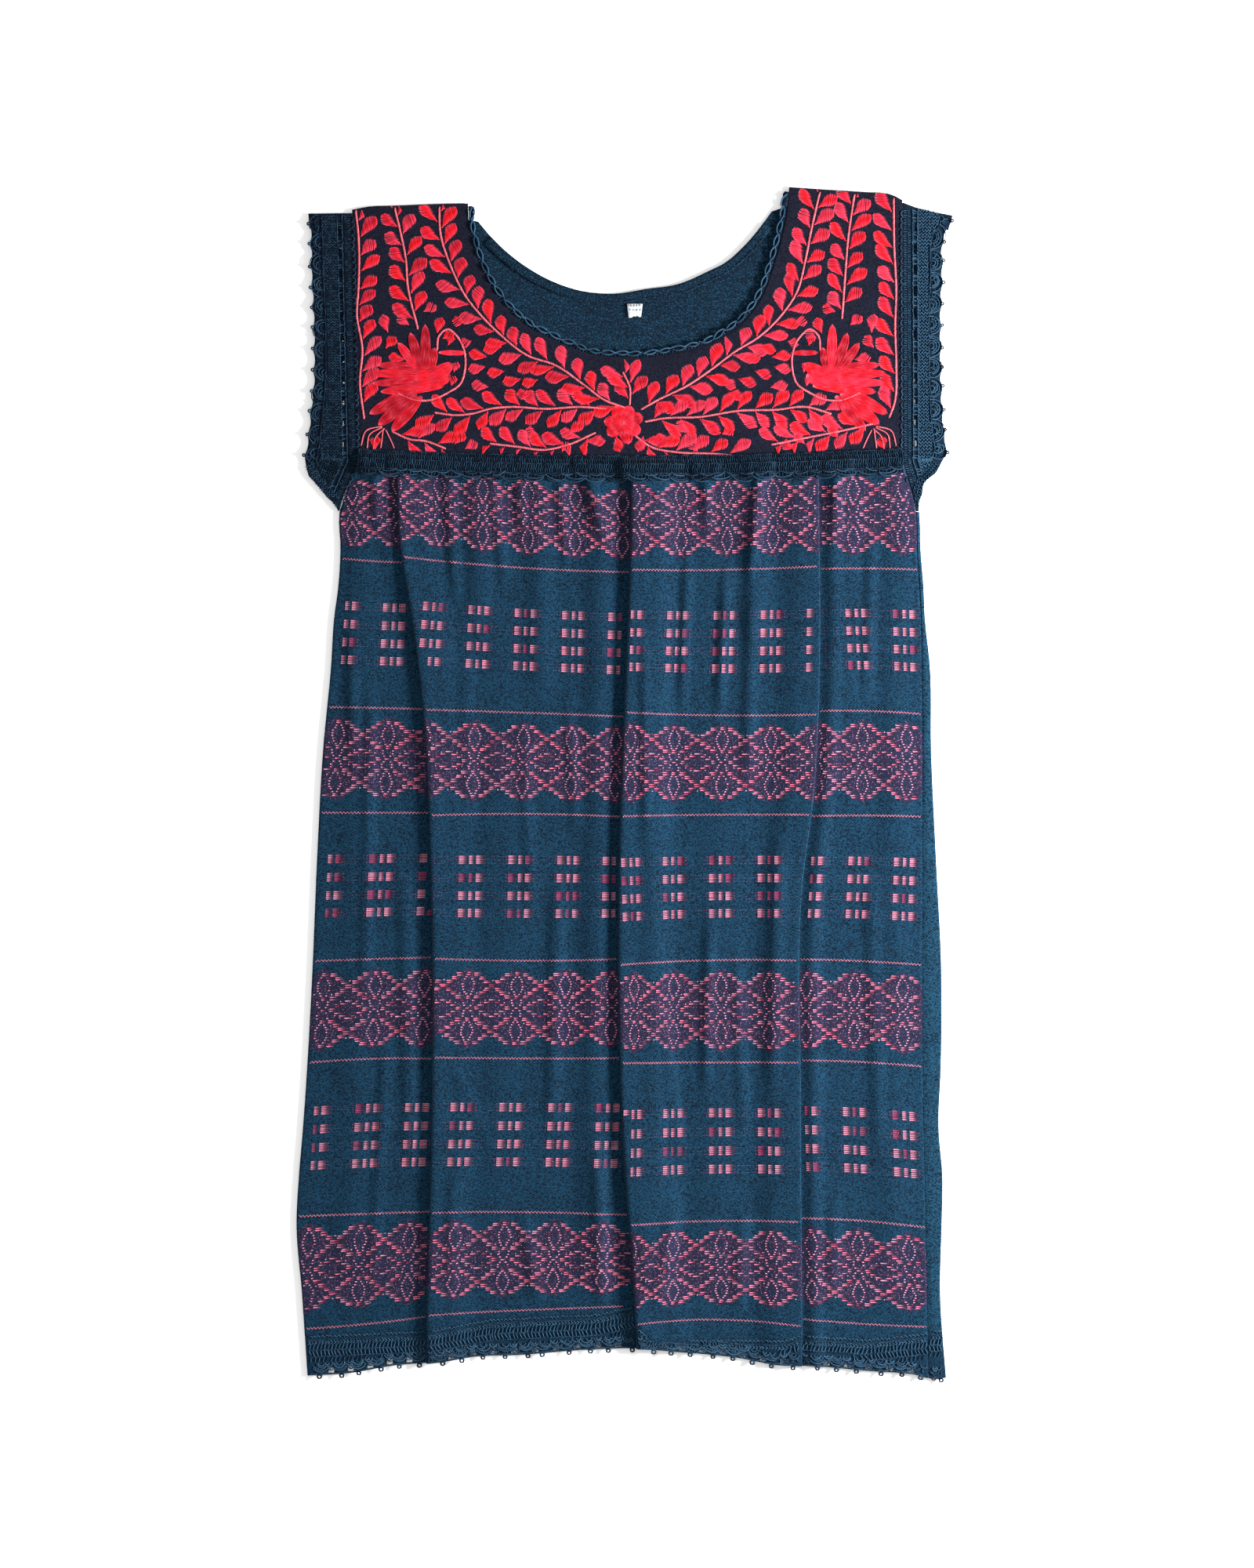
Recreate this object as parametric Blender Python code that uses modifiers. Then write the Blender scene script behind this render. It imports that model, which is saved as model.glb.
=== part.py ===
"""Handwoven cotton dress with an embroidered yoke and crocheted trims, laid flat.

The dress lies face up on z = 0 with its neck towards +Y, and the origin is the centre of its
outline on the surface. Sizes in the tables are in millimetres, as a tape gives them.
"""
import math
from collections import namedtuple

import bmesh
import bpy
import numpy as np

MM = 0.001

# Layers of cloth: heights are those of the middle of the wall.
WALL = 1.2
LACE_WALL = 1.0
SEAM_GAP = 0.3
LAYER_PITCH = 1.8
PLEAT_PITCH = 1.6
FLOOR_LAYER = WALL / 2
FRONT_LAYER = FLOOR_LAYER + LAYER_PITCH
TURN_STEPS = 4
NORMAL_STEP = 0.004

# Skirt and back: left and right outline, side seam on the front, and the cloth of the front
# that is folded under at the left edge.
SideRow = namedtuple("SideRow", "y left seam right under")
SIDES = [
    SideRow(262, -219.6, 225.2, 228.4, 4.0),
    SideRow(222, -234.6, 235.6, 238.6, 4.0),
    SideRow(192, -233.9, 236.5, 239.6, 5.0),
    SideRow(160, -235.8, 238.4, 242.2, 8.0),
    SideRow(136, -239.0, 239.7, 243.2, 12.0),
    SideRow(96, -241.6, 240.3, 247.4, 15.0),
    SideRow(30, -247.9, 241.0, 248.3, 15.0),
    SideRow(-64, -253.1, 241.0, 252.5, 15.0),
    SideRow(-150, -256.7, 241.0, 256.6, 15.0),
    SideRow(-230, -261.0, 241.4, 256.3, 15.0),
    SideRow(-282, -264.6, 242.0, 254.4, 15.0),
    SideRow(-320, -267.8, 242.9, 257.6, 15.0),
    SideRow(-358, -269.8, 243.5, 257.0, 15.0),
    SideRow(-416, -265.3, 244.8, 255.7, 15.0),
    SideRow(-484, -260.8, 246.0, 260.5, 15.0),
]
SIDE_TOP = 262
WRAP_TOP = 222
HEM_START = -420
SKIRT_TOP_ROWS = [248, 235]
SKIRT_SHARES = {
    "left": [0.0, 0.09, 0.18, 0.3, 0.45, 0.6, 0.8, 1.0],
    "middle": [0.0, 0.1, 0.2, 0.3, 0.4, 0.5, 0.6, 0.7, 0.8, 0.87, 0.93, 1.0],
    "centre": [0.0, 0.1, 0.2, 0.3, 0.42, 0.54, 0.66, 0.78, 0.9, 1.0],
    "right": [0.0, 0.14, 0.28, 0.4, 0.5, 0.65, 0.82, 1.0],
}
BUST_ROW = 300
BACK_TOP_LEVELS = [0.0, 0.45]
YOKE_LEVELS = [0.0, 0.3, 0.65, 1.0]
STRAP_STEPS = 5
FRONT_NECK_STEPS = 28
BACK_NECK_STEPS = 15
STRAP_EASE = 3.0
TRIM_SAG = 6.0
TRIM_SIDE_Y = 263.5
TRIM_HALF_WIDTH = 226.0

# Knife folds of the skirt front: place of the fold's edge and depth of the cloth under it.
PleatRow = namedtuple("PleatRow", "y edge depth")
PLEAT_LEFT = [
    PleatRow(262, -187.8, 8), PleatRow(198, -185.3, 9), PleatRow(128, -174.4, 10),
    PleatRow(64, -166.7, 11), PleatRow(-64, -160.3, 12), PleatRow(-256, -159.0, 13),
    PleatRow(-450, -163.8, 14),
]
PLEAT_CENTRE = [
    PleatRow(262, 3.5, 13), PleatRow(198, 2.9, 14), PleatRow(64, -2.2, 16),
    PleatRow(-64, -6.7, 18), PleatRow(-192, -6.7, 19), PleatRow(-320, -1.6, 20),
    PleatRow(-384, 3.5, 21), PleatRow(-450, 7.4, 22),
]
PLEAT_RIGHT = [
    PleatRow(262, 156.5, 8), PleatRow(64, 156.5, 10), PleatRow(0, 153.3, 11),
    PleatRow(-84, 143.0, 12), PleatRow(-256, 141.8, 13), PleatRow(-450, 143.0, 14),
]
PLEAT_HOLD = 3.0
PLEAT_FALL = 24.0

# Soft ridges of the four stretches of the skirt front, between the knife folds.
RidgeRow = namedtuple("RidgeRow", "panel x_top x_low y_top y_low height half_width")
RIDGES = [
    RidgeRow("left", -214, -226, 262, -420, 1.4, 11),
    RidgeRow("left", -199, -190, 262, 150, 1.8, 6),
    RidgeRow("middle", -120, -122, 262, 110, 2.4, 9),
    RidgeRow("middle", -72, -70, 262, 60, 2.0, 8),
    RidgeRow("middle", -20, -28, 262, -430, 2.6, 10),
    RidgeRow("middle", -98, -112, 60, -430, 1.2, 16),
    RidgeRow("centre", 24, 22, 262, -440, 2.2, 11),
    RidgeRow("centre", 103, 106, 262, 90, 2.2, 8),
    RidgeRow("centre", 78, 70, 40, -430, 1.3, 16),
    RidgeRow("right", 178, 182, 262, 40, 1.6, 9),
    RidgeRow("right", 220, 216, 262, -430, 1.5, 10),
]
RIDGE_END = 45.0
RIDGE_MARGIN = 9.0

# Hem of each stretch: where the cloth ends and the crochet begins.
HemRow = namedtuple("HemRow", "panel u y")
HEM = [
    HemRow("left", 0.0, -450.5), HemRow("left", 1.0, -446.5),
    HemRow("middle", 0.0, -446.0), HemRow("middle", 0.3, -437.0), HemRow("middle", 0.8, -433.0),
    HemRow("middle", 1.0, -426.0),
    HemRow("centre", 0.0, -444.0), HemRow("centre", 0.1, -453.5), HemRow("centre", 0.9, -454.0),
    HemRow("centre", 1.0, -449.0),
    HemRow("right", 0.0, -450.0), HemRow("right", 0.5, -453.5), HemRow("right", 1.0, -448.0),
]
EdgeRow = namedtuple("EdgeRow", "x y")
TRIM_EDGE = [
    EdgeRow(-262, -482.5), EdgeRow(-228, -480.5), EdgeRow(-189, -474.0), EdgeRow(-151, -471.0),
    EdgeRow(-125, -467.0), EdgeRow(-87, -465.5), EdgeRow(-36, -461.5), EdgeRow(16, -460.5),
    EdgeRow(42, -463.0), EdgeRow(93, -468.5), EdgeRow(118, -473.0), EdgeRow(157, -475.0),
    EdgeRow(195, -478.5), EdgeRow(233, -481.5), EdgeRow(252.5, -485.3), EdgeRow(261, -484.0),
]
BACK_HEM_Y = -446.0
BACK_TRIM_LIFT = 6.4
BACK_TRIM_EASE = 0.05
TRIM_LOW = -470.0

# Neck, shoulders and armholes.
FRONT_NECK = [
    (-127.0, 471.4), (-126.0, 454.0), (-121.9, 436.5), (-109.8, 409.0), (-97.6, 391.7), (-80.3, 376.3),
    (-56.6, 364.2), (-29.1, 353.4), (-0.3, 350.8), (35.5, 353.6), (69.4, 363.5), (91.8, 378.2),
    (107.2, 398.7), (118.1, 428.8), (125.8, 458.9), (129.6, 483.2),
]
BACK_NECK = [
    (-121.5, 459.0), (-112.3, 448.0), (-99.5, 435.2), (-86.7, 425.0), (-61.1, 410.2),
    (-35.5, 401.9), (-9.9, 400.0), (15.7, 403.8), (41.3, 407.7), (66.9, 418.6), (79.7, 425.0),
    (92.5, 435.8), (105.3, 449.9), (118.1, 467.2),
]
LEFT_SHOULDER = [(-224.3, 468.6), (-210.0, 471.2), (-189.1, 471.9), (-150.7, 473.4), (-127.0, 473.8)]
RIGHT_SHOULDER = [(129.6, 487.0), (156.5, 485.2), (194.9, 482.8), (216.0, 481.0), (224.6, 476.5)]
ArmholeRow = namedtuple("ArmholeRow", "y left right")
ARMHOLES = [ArmholeRow(482, -224.6, 224.6), ArmholeRow(262, -219.6, 225.2)]
SHOULDER_RETURN = 12.0
EDGING_WIDTH = 4.8
EDGING_LOOP = 1.4
FACING_WIDTH = 8.0
FACING_WALL = 1.0
FACING_ENDS = (0.06, 0.96)
FACING_STEPS = 18
LABEL_WIDTH = 12.6
LABEL_HEIGHT = 11.4
LABEL_X = 6.4
LABEL_TOP = 391.6
LABEL_LOW = [(-0.55, 1.0), (0.0, 0.86), (0.75, 0.94)]

# Crocheted sleeves: outer edge of the front half, without the picots.
SleeveRow = namedtuple("SleeveRow", "y outer")
LEFT_SLEEVE = [
    SleeveRow(464, -260.0), SleeveRow(448, -259.0), SleeveRow(416, -258.4), SleeveRow(384, -256.8),
    SleeveRow(352, -256.3), SleeveRow(320, -257.0), SleeveRow(304, -258.9), SleeveRow(288, -260.4),
    SleeveRow(272, -262.4), SleeveRow(260, -263.6), SleeveRow(243, -253.8), SleeveRow(230, -241.5),
    SleeveRow(223, -236.6),
]
RIGHT_SLEEVE = [
    SleeveRow(464, 265.6), SleeveRow(460, 265.4), SleeveRow(446, 259.6), SleeveRow(416, 258.2),
    SleeveRow(384, 257.0), SleeveRow(352, 257.0), SleeveRow(320, 257.6), SleeveRow(288, 259.5),
    SleeveRow(269, 261.0), SleeveRow(262, 258.2), SleeveRow(254, 252.5), SleeveRow(247, 245.4),
    SleeveRow(238, 241.6), SleeveRow(228, 239.4),
]
LEFT_SLEEVE_TOP = [(-260.0, 465.4), (-224.6, 465.8)]
RIGHT_SLEEVE_TOP = [(225.0, 474.6), (236.0, 470.4), (264.4, 464.0)]
SLEEVE_PITCH = 16.8
SLEEVE_BACK_INSET = 3.0
SLEEVE_TIP = 1.6
SLEEVE_ACROSS = [0.0, 0.26, 0.335, 1.0]
LADDER_SHARE = 0.55
LADDER_END = 0.8
PICOT_END = 0.86
PICOT = 4.4
LEFT_PICOT_AT = 0.37
RIGHT_PICOT_AT = 0.2

HEM_PITCH = 17.4
WINDOW_SHARE = 0.3
WINDOW_DEPTH = 4.4
WINDOW_BAR = 1.3
HEM_PICOT = 2.8
HEM_PICOT_AT = 0.65

BAND_DEPTH = 19.0
BAND_SCALLOP = 1.2
BAND_STEPS = 78
BAND_REACH = 8
BAND_INSET = 0.5

Material = namedtuple("Material", "name colour roughness")
NAVY = Material("navy_cotton", (0.012, 0.045, 0.080, 1.0), 0.85)
BROCADE = Material("brocaded_cotton", (0.030, 0.045, 0.075, 1.0), 0.85)
EMBROIDERED = Material("embroidered_cotton", (0.620, 0.030, 0.060, 1.0), 0.60)
CROCHET = Material("navy_crochet", (0.014, 0.040, 0.070, 1.0), 0.80)
LABEL = Material("label_cloth", (0.800, 0.820, 0.830, 1.0), 0.80)


def column(rows, field):
    """One named column of a table, in the table's order."""
    return [getattr(row, field) for row in rows]


def at(rows, key, field, value):
    """A table's field at a value of its key column, in straight runs between the rows."""
    keys = column(rows, key)
    values = column(rows, field)
    if keys[0] > keys[-1]:
        keys = keys[::-1]
        values = values[::-1]
    return float(np.interp(value, keys, values))


def smooth(value):
    """Smooth step from 0 to 1."""
    value = min(1.0, max(0.0, value))
    return value * value * (3.0 - 2.0 * value)


def bell(distance, half_width):
    """Rounded ridge profile, 1 at its crest and 0 beyond twice its half width."""
    share = min(1.0, abs(distance) / (2.0 * half_width))
    return 0.5 + 0.5 * math.cos(math.pi * share)


def path_at(points, share):
    """Point at a share of the length of a path, on a smooth curve through its points."""
    points = np.array(points, dtype=float)
    steps = np.hypot(*np.diff(points, axis=0).T)
    length = np.concatenate([[0.0], np.cumsum(steps)])
    slopes = np.gradient(points, length, axis=0)
    where = share * length[-1]
    k = min(len(steps) - 1, max(0, int(np.searchsorted(length, where, side="right")) - 1))
    span = steps[k]
    t = (where - length[k]) / span
    start = (2 * t**3 - 3 * t**2 + 1) * points[k] + (t**3 - 2 * t**2 + t) * span * slopes[k]
    end = (3 * t**2 - 2 * t**3) * points[k + 1] + (t**3 - t**2) * span * slopes[k + 1]
    return start + end


def path_normal(points, share):
    """Unit normal of the smooth path, to the left of its direction."""
    before = path_at(points, max(0.0, share - NORMAL_STEP))
    after = path_at(points, min(1.0, share + NORMAL_STEP))
    along = (after - before) / np.hypot(*(after - before))
    return np.array([-along[1], along[0]])


def seam_y(x):
    """Height of the seam between yoke and skirt, which sags in the middle."""
    return TRIM_SIDE_Y - TRIM_SAG * (1.0 - min(1.0, abs(x) / TRIM_HALF_WIDTH) ** 2)


# The skirt front as one long section: stations run along the cloth from the fold-under at the
# left, over four stretches and three knife folds, to the side seam.
Station = namedtuple("Station", "part place t")
PANELS = ["left", "middle", "centre", "right"]
PANEL_RISES = {
    "left": (0, 0), "middle": (2, 0), "centre": (2, 2), "right": (0, 0),
}
PANEL_PLEATS = {
    "left": (None, PLEAT_LEFT), "middle": (PLEAT_LEFT, PLEAT_CENTRE),
    "centre": (PLEAT_CENTRE, PLEAT_RIGHT), "right": (PLEAT_RIGHT, None),
}
PLEATS = {"left": (PLEAT_LEFT, 1), "middle": (PLEAT_CENTRE, 1), "centre": (PLEAT_RIGHT, -1)}
EDGE_TURN = LAYER_PITCH / 2
PLEAT_TURN = PLEAT_PITCH / 2


def panel_span(panel, y):
    """Left and right end of a stretch of the skirt front at a height y."""
    before, after = PANEL_PLEATS[panel]
    left = at(SIDES, "y", "left", y) + EDGE_TURN + WALL / 2
    right = at(SIDES, "y", "seam", y)
    if before is not None:
        left = at(before, "y", "edge", y)
        if PANEL_RISES[panel][0]:
            left += PLEAT_TURN + WALL / 2
    if after is not None:
        right = at(after, "y", "edge", y)
        if PANEL_RISES[panel][1]:
            right -= PLEAT_TURN + WALL / 2
    return left, right


def panel_height(panel, x, y):
    """Height of the middle of the wall of a stretch of the skirt front."""
    left, right = panel_span(panel, y)
    before, after = PANEL_PLEATS[panel]
    height = FRONT_LAYER
    rises = PANEL_RISES[panel]
    for rise, pleat, distance in ((rises[0], before, x - left), (rises[1], after, right - x)):
        if rise:
            hold = at(pleat, "y", "depth", y) + PLEAT_HOLD
            height += rise * PLEAT_PITCH * (1.0 - smooth((distance - hold) / PLEAT_FALL))
    margin = smooth((x - left) / RIDGE_MARGIN) * smooth((right - x) / RIDGE_MARGIN)
    for ridge in RIDGES:
        if ridge.panel != panel:
            continue
        along = (ridge.y_top - y) / (ridge.y_top - ridge.y_low)
        centre = ridge.x_top + (ridge.x_low - ridge.x_top) * along
        begins = 1.0 if ridge.y_top == SIDE_TOP else smooth((ridge.y_top - y) / RIDGE_END)
        ends = smooth((y - ridge.y_low) / RIDGE_END)
        height += ridge.height * bell(x - centre, ridge.half_width) * margin * begins * ends
    return height


def front_point(station, y):
    """Point (x, z) of the skirt front's section at a station and a height y."""
    part, place, t = station
    if part == "under":
        start, end = left_return(y)
        return start + (end - start) * t, FLOOR_LAYER
    if part == "edge":
        centre = left_return(y)[1]
        angle = math.pi * t
        return centre - EDGE_TURN * math.sin(angle), FLOOR_LAYER + EDGE_TURN * (1 - math.cos(angle))
    if part == "panel":
        left, right = panel_span(place, y)
        x = left + (right - left) * t
        return x, panel_height(place, x, y)
    return pleat_point(part, place, t, y)


def left_return(y):
    """Ends of the cloth that is folded under at the left edge."""
    left = at(SIDES, "y", "left", y)
    return left + at(SIDES, "y", "under", y) + EDGE_TURN, left + EDGE_TURN + WALL / 2


def pleat_point(turn, place, t, y):
    """Point of a knife fold: t runs 0 to 1 up its lower turn, or up its upper turn."""
    rows, direction = PLEATS[place]
    edge = at(rows, "y", "edge", y)
    angle = math.pi * t
    rise = PLEAT_TURN * (1 - math.cos(angle))
    if turn == "lower":
        depth = at(rows, "y", "depth", y)
        return edge + direction * (depth + PLEAT_TURN * math.sin(angle)), FRONT_LAYER + rise
    x = edge + direction * (PLEAT_TURN + WALL / 2 - PLEAT_TURN * math.sin(angle))
    return x, FRONT_LAYER + PLEAT_PITCH + rise


def pleat_stations(place):
    """Stations of a knife fold, from the stretch before it to the one after it."""
    turn = [k / TURN_STEPS for k in range(TURN_STEPS + 1)]
    lower = [Station("lower", place, t) for t in turn]
    upper = [Station("upper", place, t) for t in turn[:-1]]
    if PLEATS[place][1] > 0:
        return lower + upper
    return upper[::-1] + lower[::-1]


def panel_hem(panel, u):
    """Lower edge of the cloth of a stretch."""
    rows = [row for row in HEM if row.panel == panel]
    return at(rows, "u", "y", u)


def station_hem(station):
    """Lower edge of the cloth at a station of the skirt front."""
    part, place, t = station
    if part in ("under", "edge"):
        return panel_hem("left", 0.0)
    if part == "panel":
        return panel_hem(place, t)
    before, after = panel_hem(place, 1.0), panel_hem(PANELS[PANELS.index(place) + 1], 0.0)
    between = (before + after) / 2.0
    if part == "lower":
        return between
    return after if PLEATS[place][1] > 0 else before


def trim_edge_y(x):
    """Lower edge of the crocheted hem, without its picots."""
    return at(TRIM_EDGE, "x", "y", x)


def front_stations(panel_shares):
    """Stations of the whole section, with the shares of each stretch that are wanted."""
    turn = [k / TURN_STEPS for k in range(1, TURN_STEPS)]
    stations = [Station("under", None, 0.0), Station("under", None, 1.0)]
    stations += [Station("edge", None, t) for t in turn]
    for panel in PANELS:
        stations += [Station("panel", panel, t) for t in panel_shares[panel]]
        if panel in PLEATS:
            stations += pleat_stations(panel)
    return stations


def link(name, mesh, material):
    """Object with its own material, in the dress's collection."""
    piece = bpy.data.objects.new(name, mesh)
    surface = bpy.data.materials.new(name + "_" + material.name)
    surface.use_nodes = True
    shader = surface.node_tree.nodes["Principled BSDF"]
    shader.inputs["Base Color"].default_value = material.colour
    shader.inputs["Roughness"].default_value = material.roughness
    shader.inputs["Metallic"].default_value = 0.0
    mesh.materials.append(surface)
    dress.objects.link(piece)
    return piece


def cloth(name, rows, wall, material, open_cell=None):
    """Sheet through rows of points in millimetres, thickened evenly to both sides.

    A point may be None where the sheet has none, and open_cell(row, column) leaves a window.
    """
    shape = bmesh.new()
    grid = [[p and shape.verts.new([v * MM for v in p]) for p in row] for row in rows]
    for r in range(len(grid) - 1):
        for c in range(len(grid[r]) - 1):
            corners = (grid[r][c], grid[r + 1][c], grid[r + 1][c + 1], grid[r][c + 1])
            if None in corners or (open_cell and open_cell(r, c)):
                continue
            shape.faces.new(corners)
    loose = [vert for vert in shape.verts if not vert.link_faces]
    bmesh.ops.delete(shape, geom=loose, context="VERTS")
    bmesh.ops.recalc_face_normals(shape, faces=shape.faces)
    mesh = bpy.data.meshes.new(name)
    shape.to_mesh(mesh)
    shape.free()
    piece = link(name, mesh, material)
    thickness = piece.modifiers.new("wall", "SOLIDIFY")
    thickness.thickness = wall * MM
    thickness.offset = 0.0
    thickness.use_even_offset = True
    return piece


def side_x(edge, y):
    """Left or right edge of the front: the armhole, and below it the side of the skirt."""
    if y > SIDE_TOP:
        return at(ARMHOLES, "y", edge, y)
    return at(SIDES, "y", "left" if edge == "left" else "seam", y)


def side_heights():
    """Heights of the rows that front and back share along the sides."""
    return [row.y for row in SIDES if HEM_START < row.y <= WRAP_TOP]


def skirt_front():
    """Brocaded skirt front with its knife folds, from the yoke seam to the hem."""
    stations = front_stations(SKIRT_SHARES)
    tops = [seam_y(front_point(station, TRIM_SIDE_Y)[0]) - SEAM_GAP / 2 for station in stations]
    hems = [station_hem(station) for station in stations]
    levels = [tops] + [[y] * len(stations) for y in SKIRT_TOP_ROWS + side_heights()] + [hems]
    rows = []
    for level in levels:
        row = []
        for station, y in zip(stations, level):
            if station.part in ("under", "edge") and y > WRAP_TOP:
                row.append(None)
                continue
            x, z = front_point(station, y)
            row.append((x, y, z))
        rows.append(row)
    return cloth("skirt_front", rows, WALL, BROCADE)


def wrap_point(part, t, y):
    """Point (x, z) of the back where it comes round the right edge to the side seam."""
    seam = at(SIDES, "y", "seam", y) + SEAM_GAP
    centre = at(SIDES, "y", "right", y) - EDGE_TURN - WALL / 2
    if part == "turn":
        angle = math.pi * t
        return centre + EDGE_TURN * math.sin(angle), FLOOR_LAYER + EDGE_TURN * (1 - math.cos(angle))
    return centre + (seam - centre) * t, FRONT_LAYER


def back_left(y):
    """Left edge of the back: the armhole, and below it the edge of the cloth folded under."""
    if y > WRAP_TOP:
        return side_x("left", y)
    return left_return(y)[0] + SEAM_GAP


def back_right(y):
    """Right edge of the back on the floor: the armhole, and below it the start of the turn."""
    if y > WRAP_TOP:
        return side_x("right", y)
    return wrap_point("turn", 0.0, y)[0]


def back_panel():
    """Plain back in one piece, shoulders to hem, round the right edge to the side seam."""
    drop = SHOULDER_RETURN + SEAM_GAP
    tops = [path_at(LEFT_SHOULDER, k / STRAP_STEPS) for k in range(STRAP_STEPS)]
    tops = [(x, y - drop) for x, y in tops]
    tops += [tuple(path_at(BACK_NECK, k / BACK_NECK_STEPS)) for k in range(BACK_NECK_STEPS + 1)]
    ends = [path_at(RIGHT_SHOULDER, k / STRAP_STEPS) for k in range(1, STRAP_STEPS + 1)]
    tops += [(x, y - drop) for x, y in ends]
    steps = len(tops) - 1
    wrap = [None] * (TURN_STEPS + 1)
    rows = []
    for level in BACK_TOP_LEVELS:
        row = []
        for k, (x_top, y_top) in enumerate(tops):
            y = y_top + (BUST_ROW - y_top) * level
            left, right = back_left(BUST_ROW), back_right(BUST_ROW)
            x = x_top + (left + (right - left) * k / steps - x_top) * level
            if k == 0:
                x = back_left(y)
            if k == steps:
                x = back_right(y)
            row.append((x, y, FLOOR_LAYER))
        rows.append(row + wrap)
    for y in [BUST_ROW, SIDE_TOP] + side_heights() + [BACK_HEM_Y]:
        left, right = back_left(y), back_right(y)
        if y == WRAP_TOP:
            left, right = side_x("left", y), side_x("right", y)
            rows.append([(left + (right - left) * k / steps, y + SEAM_GAP, FLOOR_LAYER)
                         for k in range(steps + 1)] + wrap)
            left, right = back_left(y), back_right(y)
        row = [(left + (right - left) * k / steps, y, FLOOR_LAYER) for k in range(steps + 1)]
        if y <= WRAP_TOP:
            turn = [wrap_point("turn", k / TURN_STEPS, y) for k in range(1, TURN_STEPS + 1)]
            turn.append(wrap_point("strip", 1.0, y))
            row += [(x, y, z) for x, z in turn]
        else:
            row += wrap
        rows.append(row)
    return cloth("back_panel", rows, WALL, NAVY)


def offset_path(points, distance, steps):
    """Path moved sideways by a distance, to the left of its direction."""
    shares = [k / steps for k in range(steps + 1)]
    return [path_at(points, s) + distance * path_normal(points, s) for s in shares]


def neck_line(distance):
    """Front neckline moved sideways, as the corners that yoke and edging share."""
    return offset_path(FRONT_NECK, distance, FRONT_NECK_STEPS)


def yoke_front():
    """Embroidered yoke: two straps and the bib, carried over the shoulders to the back."""
    neck = neck_line(-EDGING_WIDTH / 2 - SEAM_GAP)
    strap = [k / STRAP_STEPS for k in range(STRAP_STEPS + 1)]
    left = [(x - STRAP_EASE * s, y) for s, (x, y) in zip(strap, (path_at(LEFT_SHOULDER, s) for s in strap))]
    right = [(x + STRAP_EASE * (1 - s), y)
             for s, (x, y) in zip(strap, (path_at(RIGHT_SHOULDER, s) for s in strap))]
    tops = left + [tuple(p) for p in neck[1:-1]] + right
    folded = [k < len(left) or k >= len(tops) - len(right) for k in range(len(tops))]
    steps = len(tops) - 1
    turn = LAYER_PITCH / 2
    reach = turn + WALL / 2

    def fold_row(drop, height):
        """Row of the cloth that goes over the shoulders, or None between them."""
        row = [(x, y - drop, height) if f else None for (x, y), f in zip(tops, folded)]
        row[0] = (side_x("left", row[0][1]), row[0][1], height)
        row[-1] = (side_x("right", row[-1][1]), row[-1][1], height)
        return row

    rows = [fold_row(drop, FLOOR_LAYER) for drop in (SHOULDER_RETURN, reach)]
    for k in range(1, TURN_STEPS):
        angle = math.pi * k / TURN_STEPS
        rows.append(fold_row(reach - turn * math.sin(angle), FLOOR_LAYER + turn * (1 - math.cos(angle))))
    low_left, low_right = side_x("left", TRIM_SIDE_Y), side_x("right", TRIM_SIDE_Y)
    for level in YOKE_LEVELS:
        row = []
        for k, (x_top, y_top) in enumerate(tops):
            y_top -= reach if folded[k] else 0.0
            x_low = low_left + (low_right - low_left) * k / steps
            y_low = seam_y(x_low) + SEAM_GAP / 2
            x = x_top + (x_low - x_top) * level
            y = y_top + (y_low - y_top) * level
            if k == 0:
                x = side_x("left", y)
            if k == steps:
                x = side_x("right", y)
            row.append((x, y, FRONT_LAYER))
        rows.append(row)
    return cloth("yoke_front", rows, WALL, EMBROIDERED)


def neck_edging():
    """Crocheted chain along the front neckline, with a loop at every other step."""
    inner = neck_line(-EDGING_WIDTH / 2)
    outer = neck_line(EDGING_WIDTH / 2)
    rows = [[], []]
    for k in range(FRONT_NECK_STEPS):
        for half in (0.0, 0.5):
            near = inner[k] + (inner[k + 1] - inner[k]) * half
            far = outer[k] + (outer[k + 1] - outer[k]) * half
            loop = EDGING_LOOP * (0.5 - half) / EDGING_WIDTH
            rows[0].append((*near, FRONT_LAYER))
            rows[1].append((*(far + (near - far) * loop), FRONT_LAYER))
    rows[0].append((*inner[-1], FRONT_LAYER))
    rows[1].append((*outer[-1], FRONT_LAYER))
    return cloth("neck_edging", rows, LACE_WALL, CROCHET)


def neck_facing():
    """Turned hem on the inside of the back neckline."""
    first, last = FACING_ENDS
    height = WALL + SEAM_GAP + FACING_WALL / 2
    shares = [first + (last - first) * k / FACING_STEPS for k in range(FACING_STEPS + 1)]
    top = [path_at(BACK_NECK, s) for s in shares]
    low = [path_at(BACK_NECK, s) - FACING_WIDTH * path_normal(BACK_NECK, s) for s in shares]
    rows = [[(x, y, height) for x, y in top], [(x, y, height) for x, y in low]]
    return cloth("neck_facing", rows, FACING_WALL, NAVY)


def neck_label():
    """Small blank label sewn below the back neck hem, narrower at its cut lower edge."""
    height = WALL + SEAM_GAP + FACING_WALL / 2
    half = LABEL_WIDTH / 2
    upper = [(LABEL_X + half * across, LABEL_TOP, height) for across in (-1, 0, 1)]
    lower = [(LABEL_X + half * across, LABEL_TOP - LABEL_HEIGHT * down, height)
             for across, down in LABEL_LOW]
    return cloth("neck_label", [upper, lower], FACING_WALL, LABEL)


def skirt_top_height(x, y):
    """Height of the uppermost layer of the skirt front at a place."""
    heights = [FRONT_LAYER]
    for panel in PANELS:
        left, right = panel_span(panel, y)
        reach = WALL / 2 + PLEAT_TURN
        if left - reach <= x <= right + reach:
            inside = min(max(x, left), right)
            heights.append(panel_height(panel, inside, y))
    return max(heights)


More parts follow.
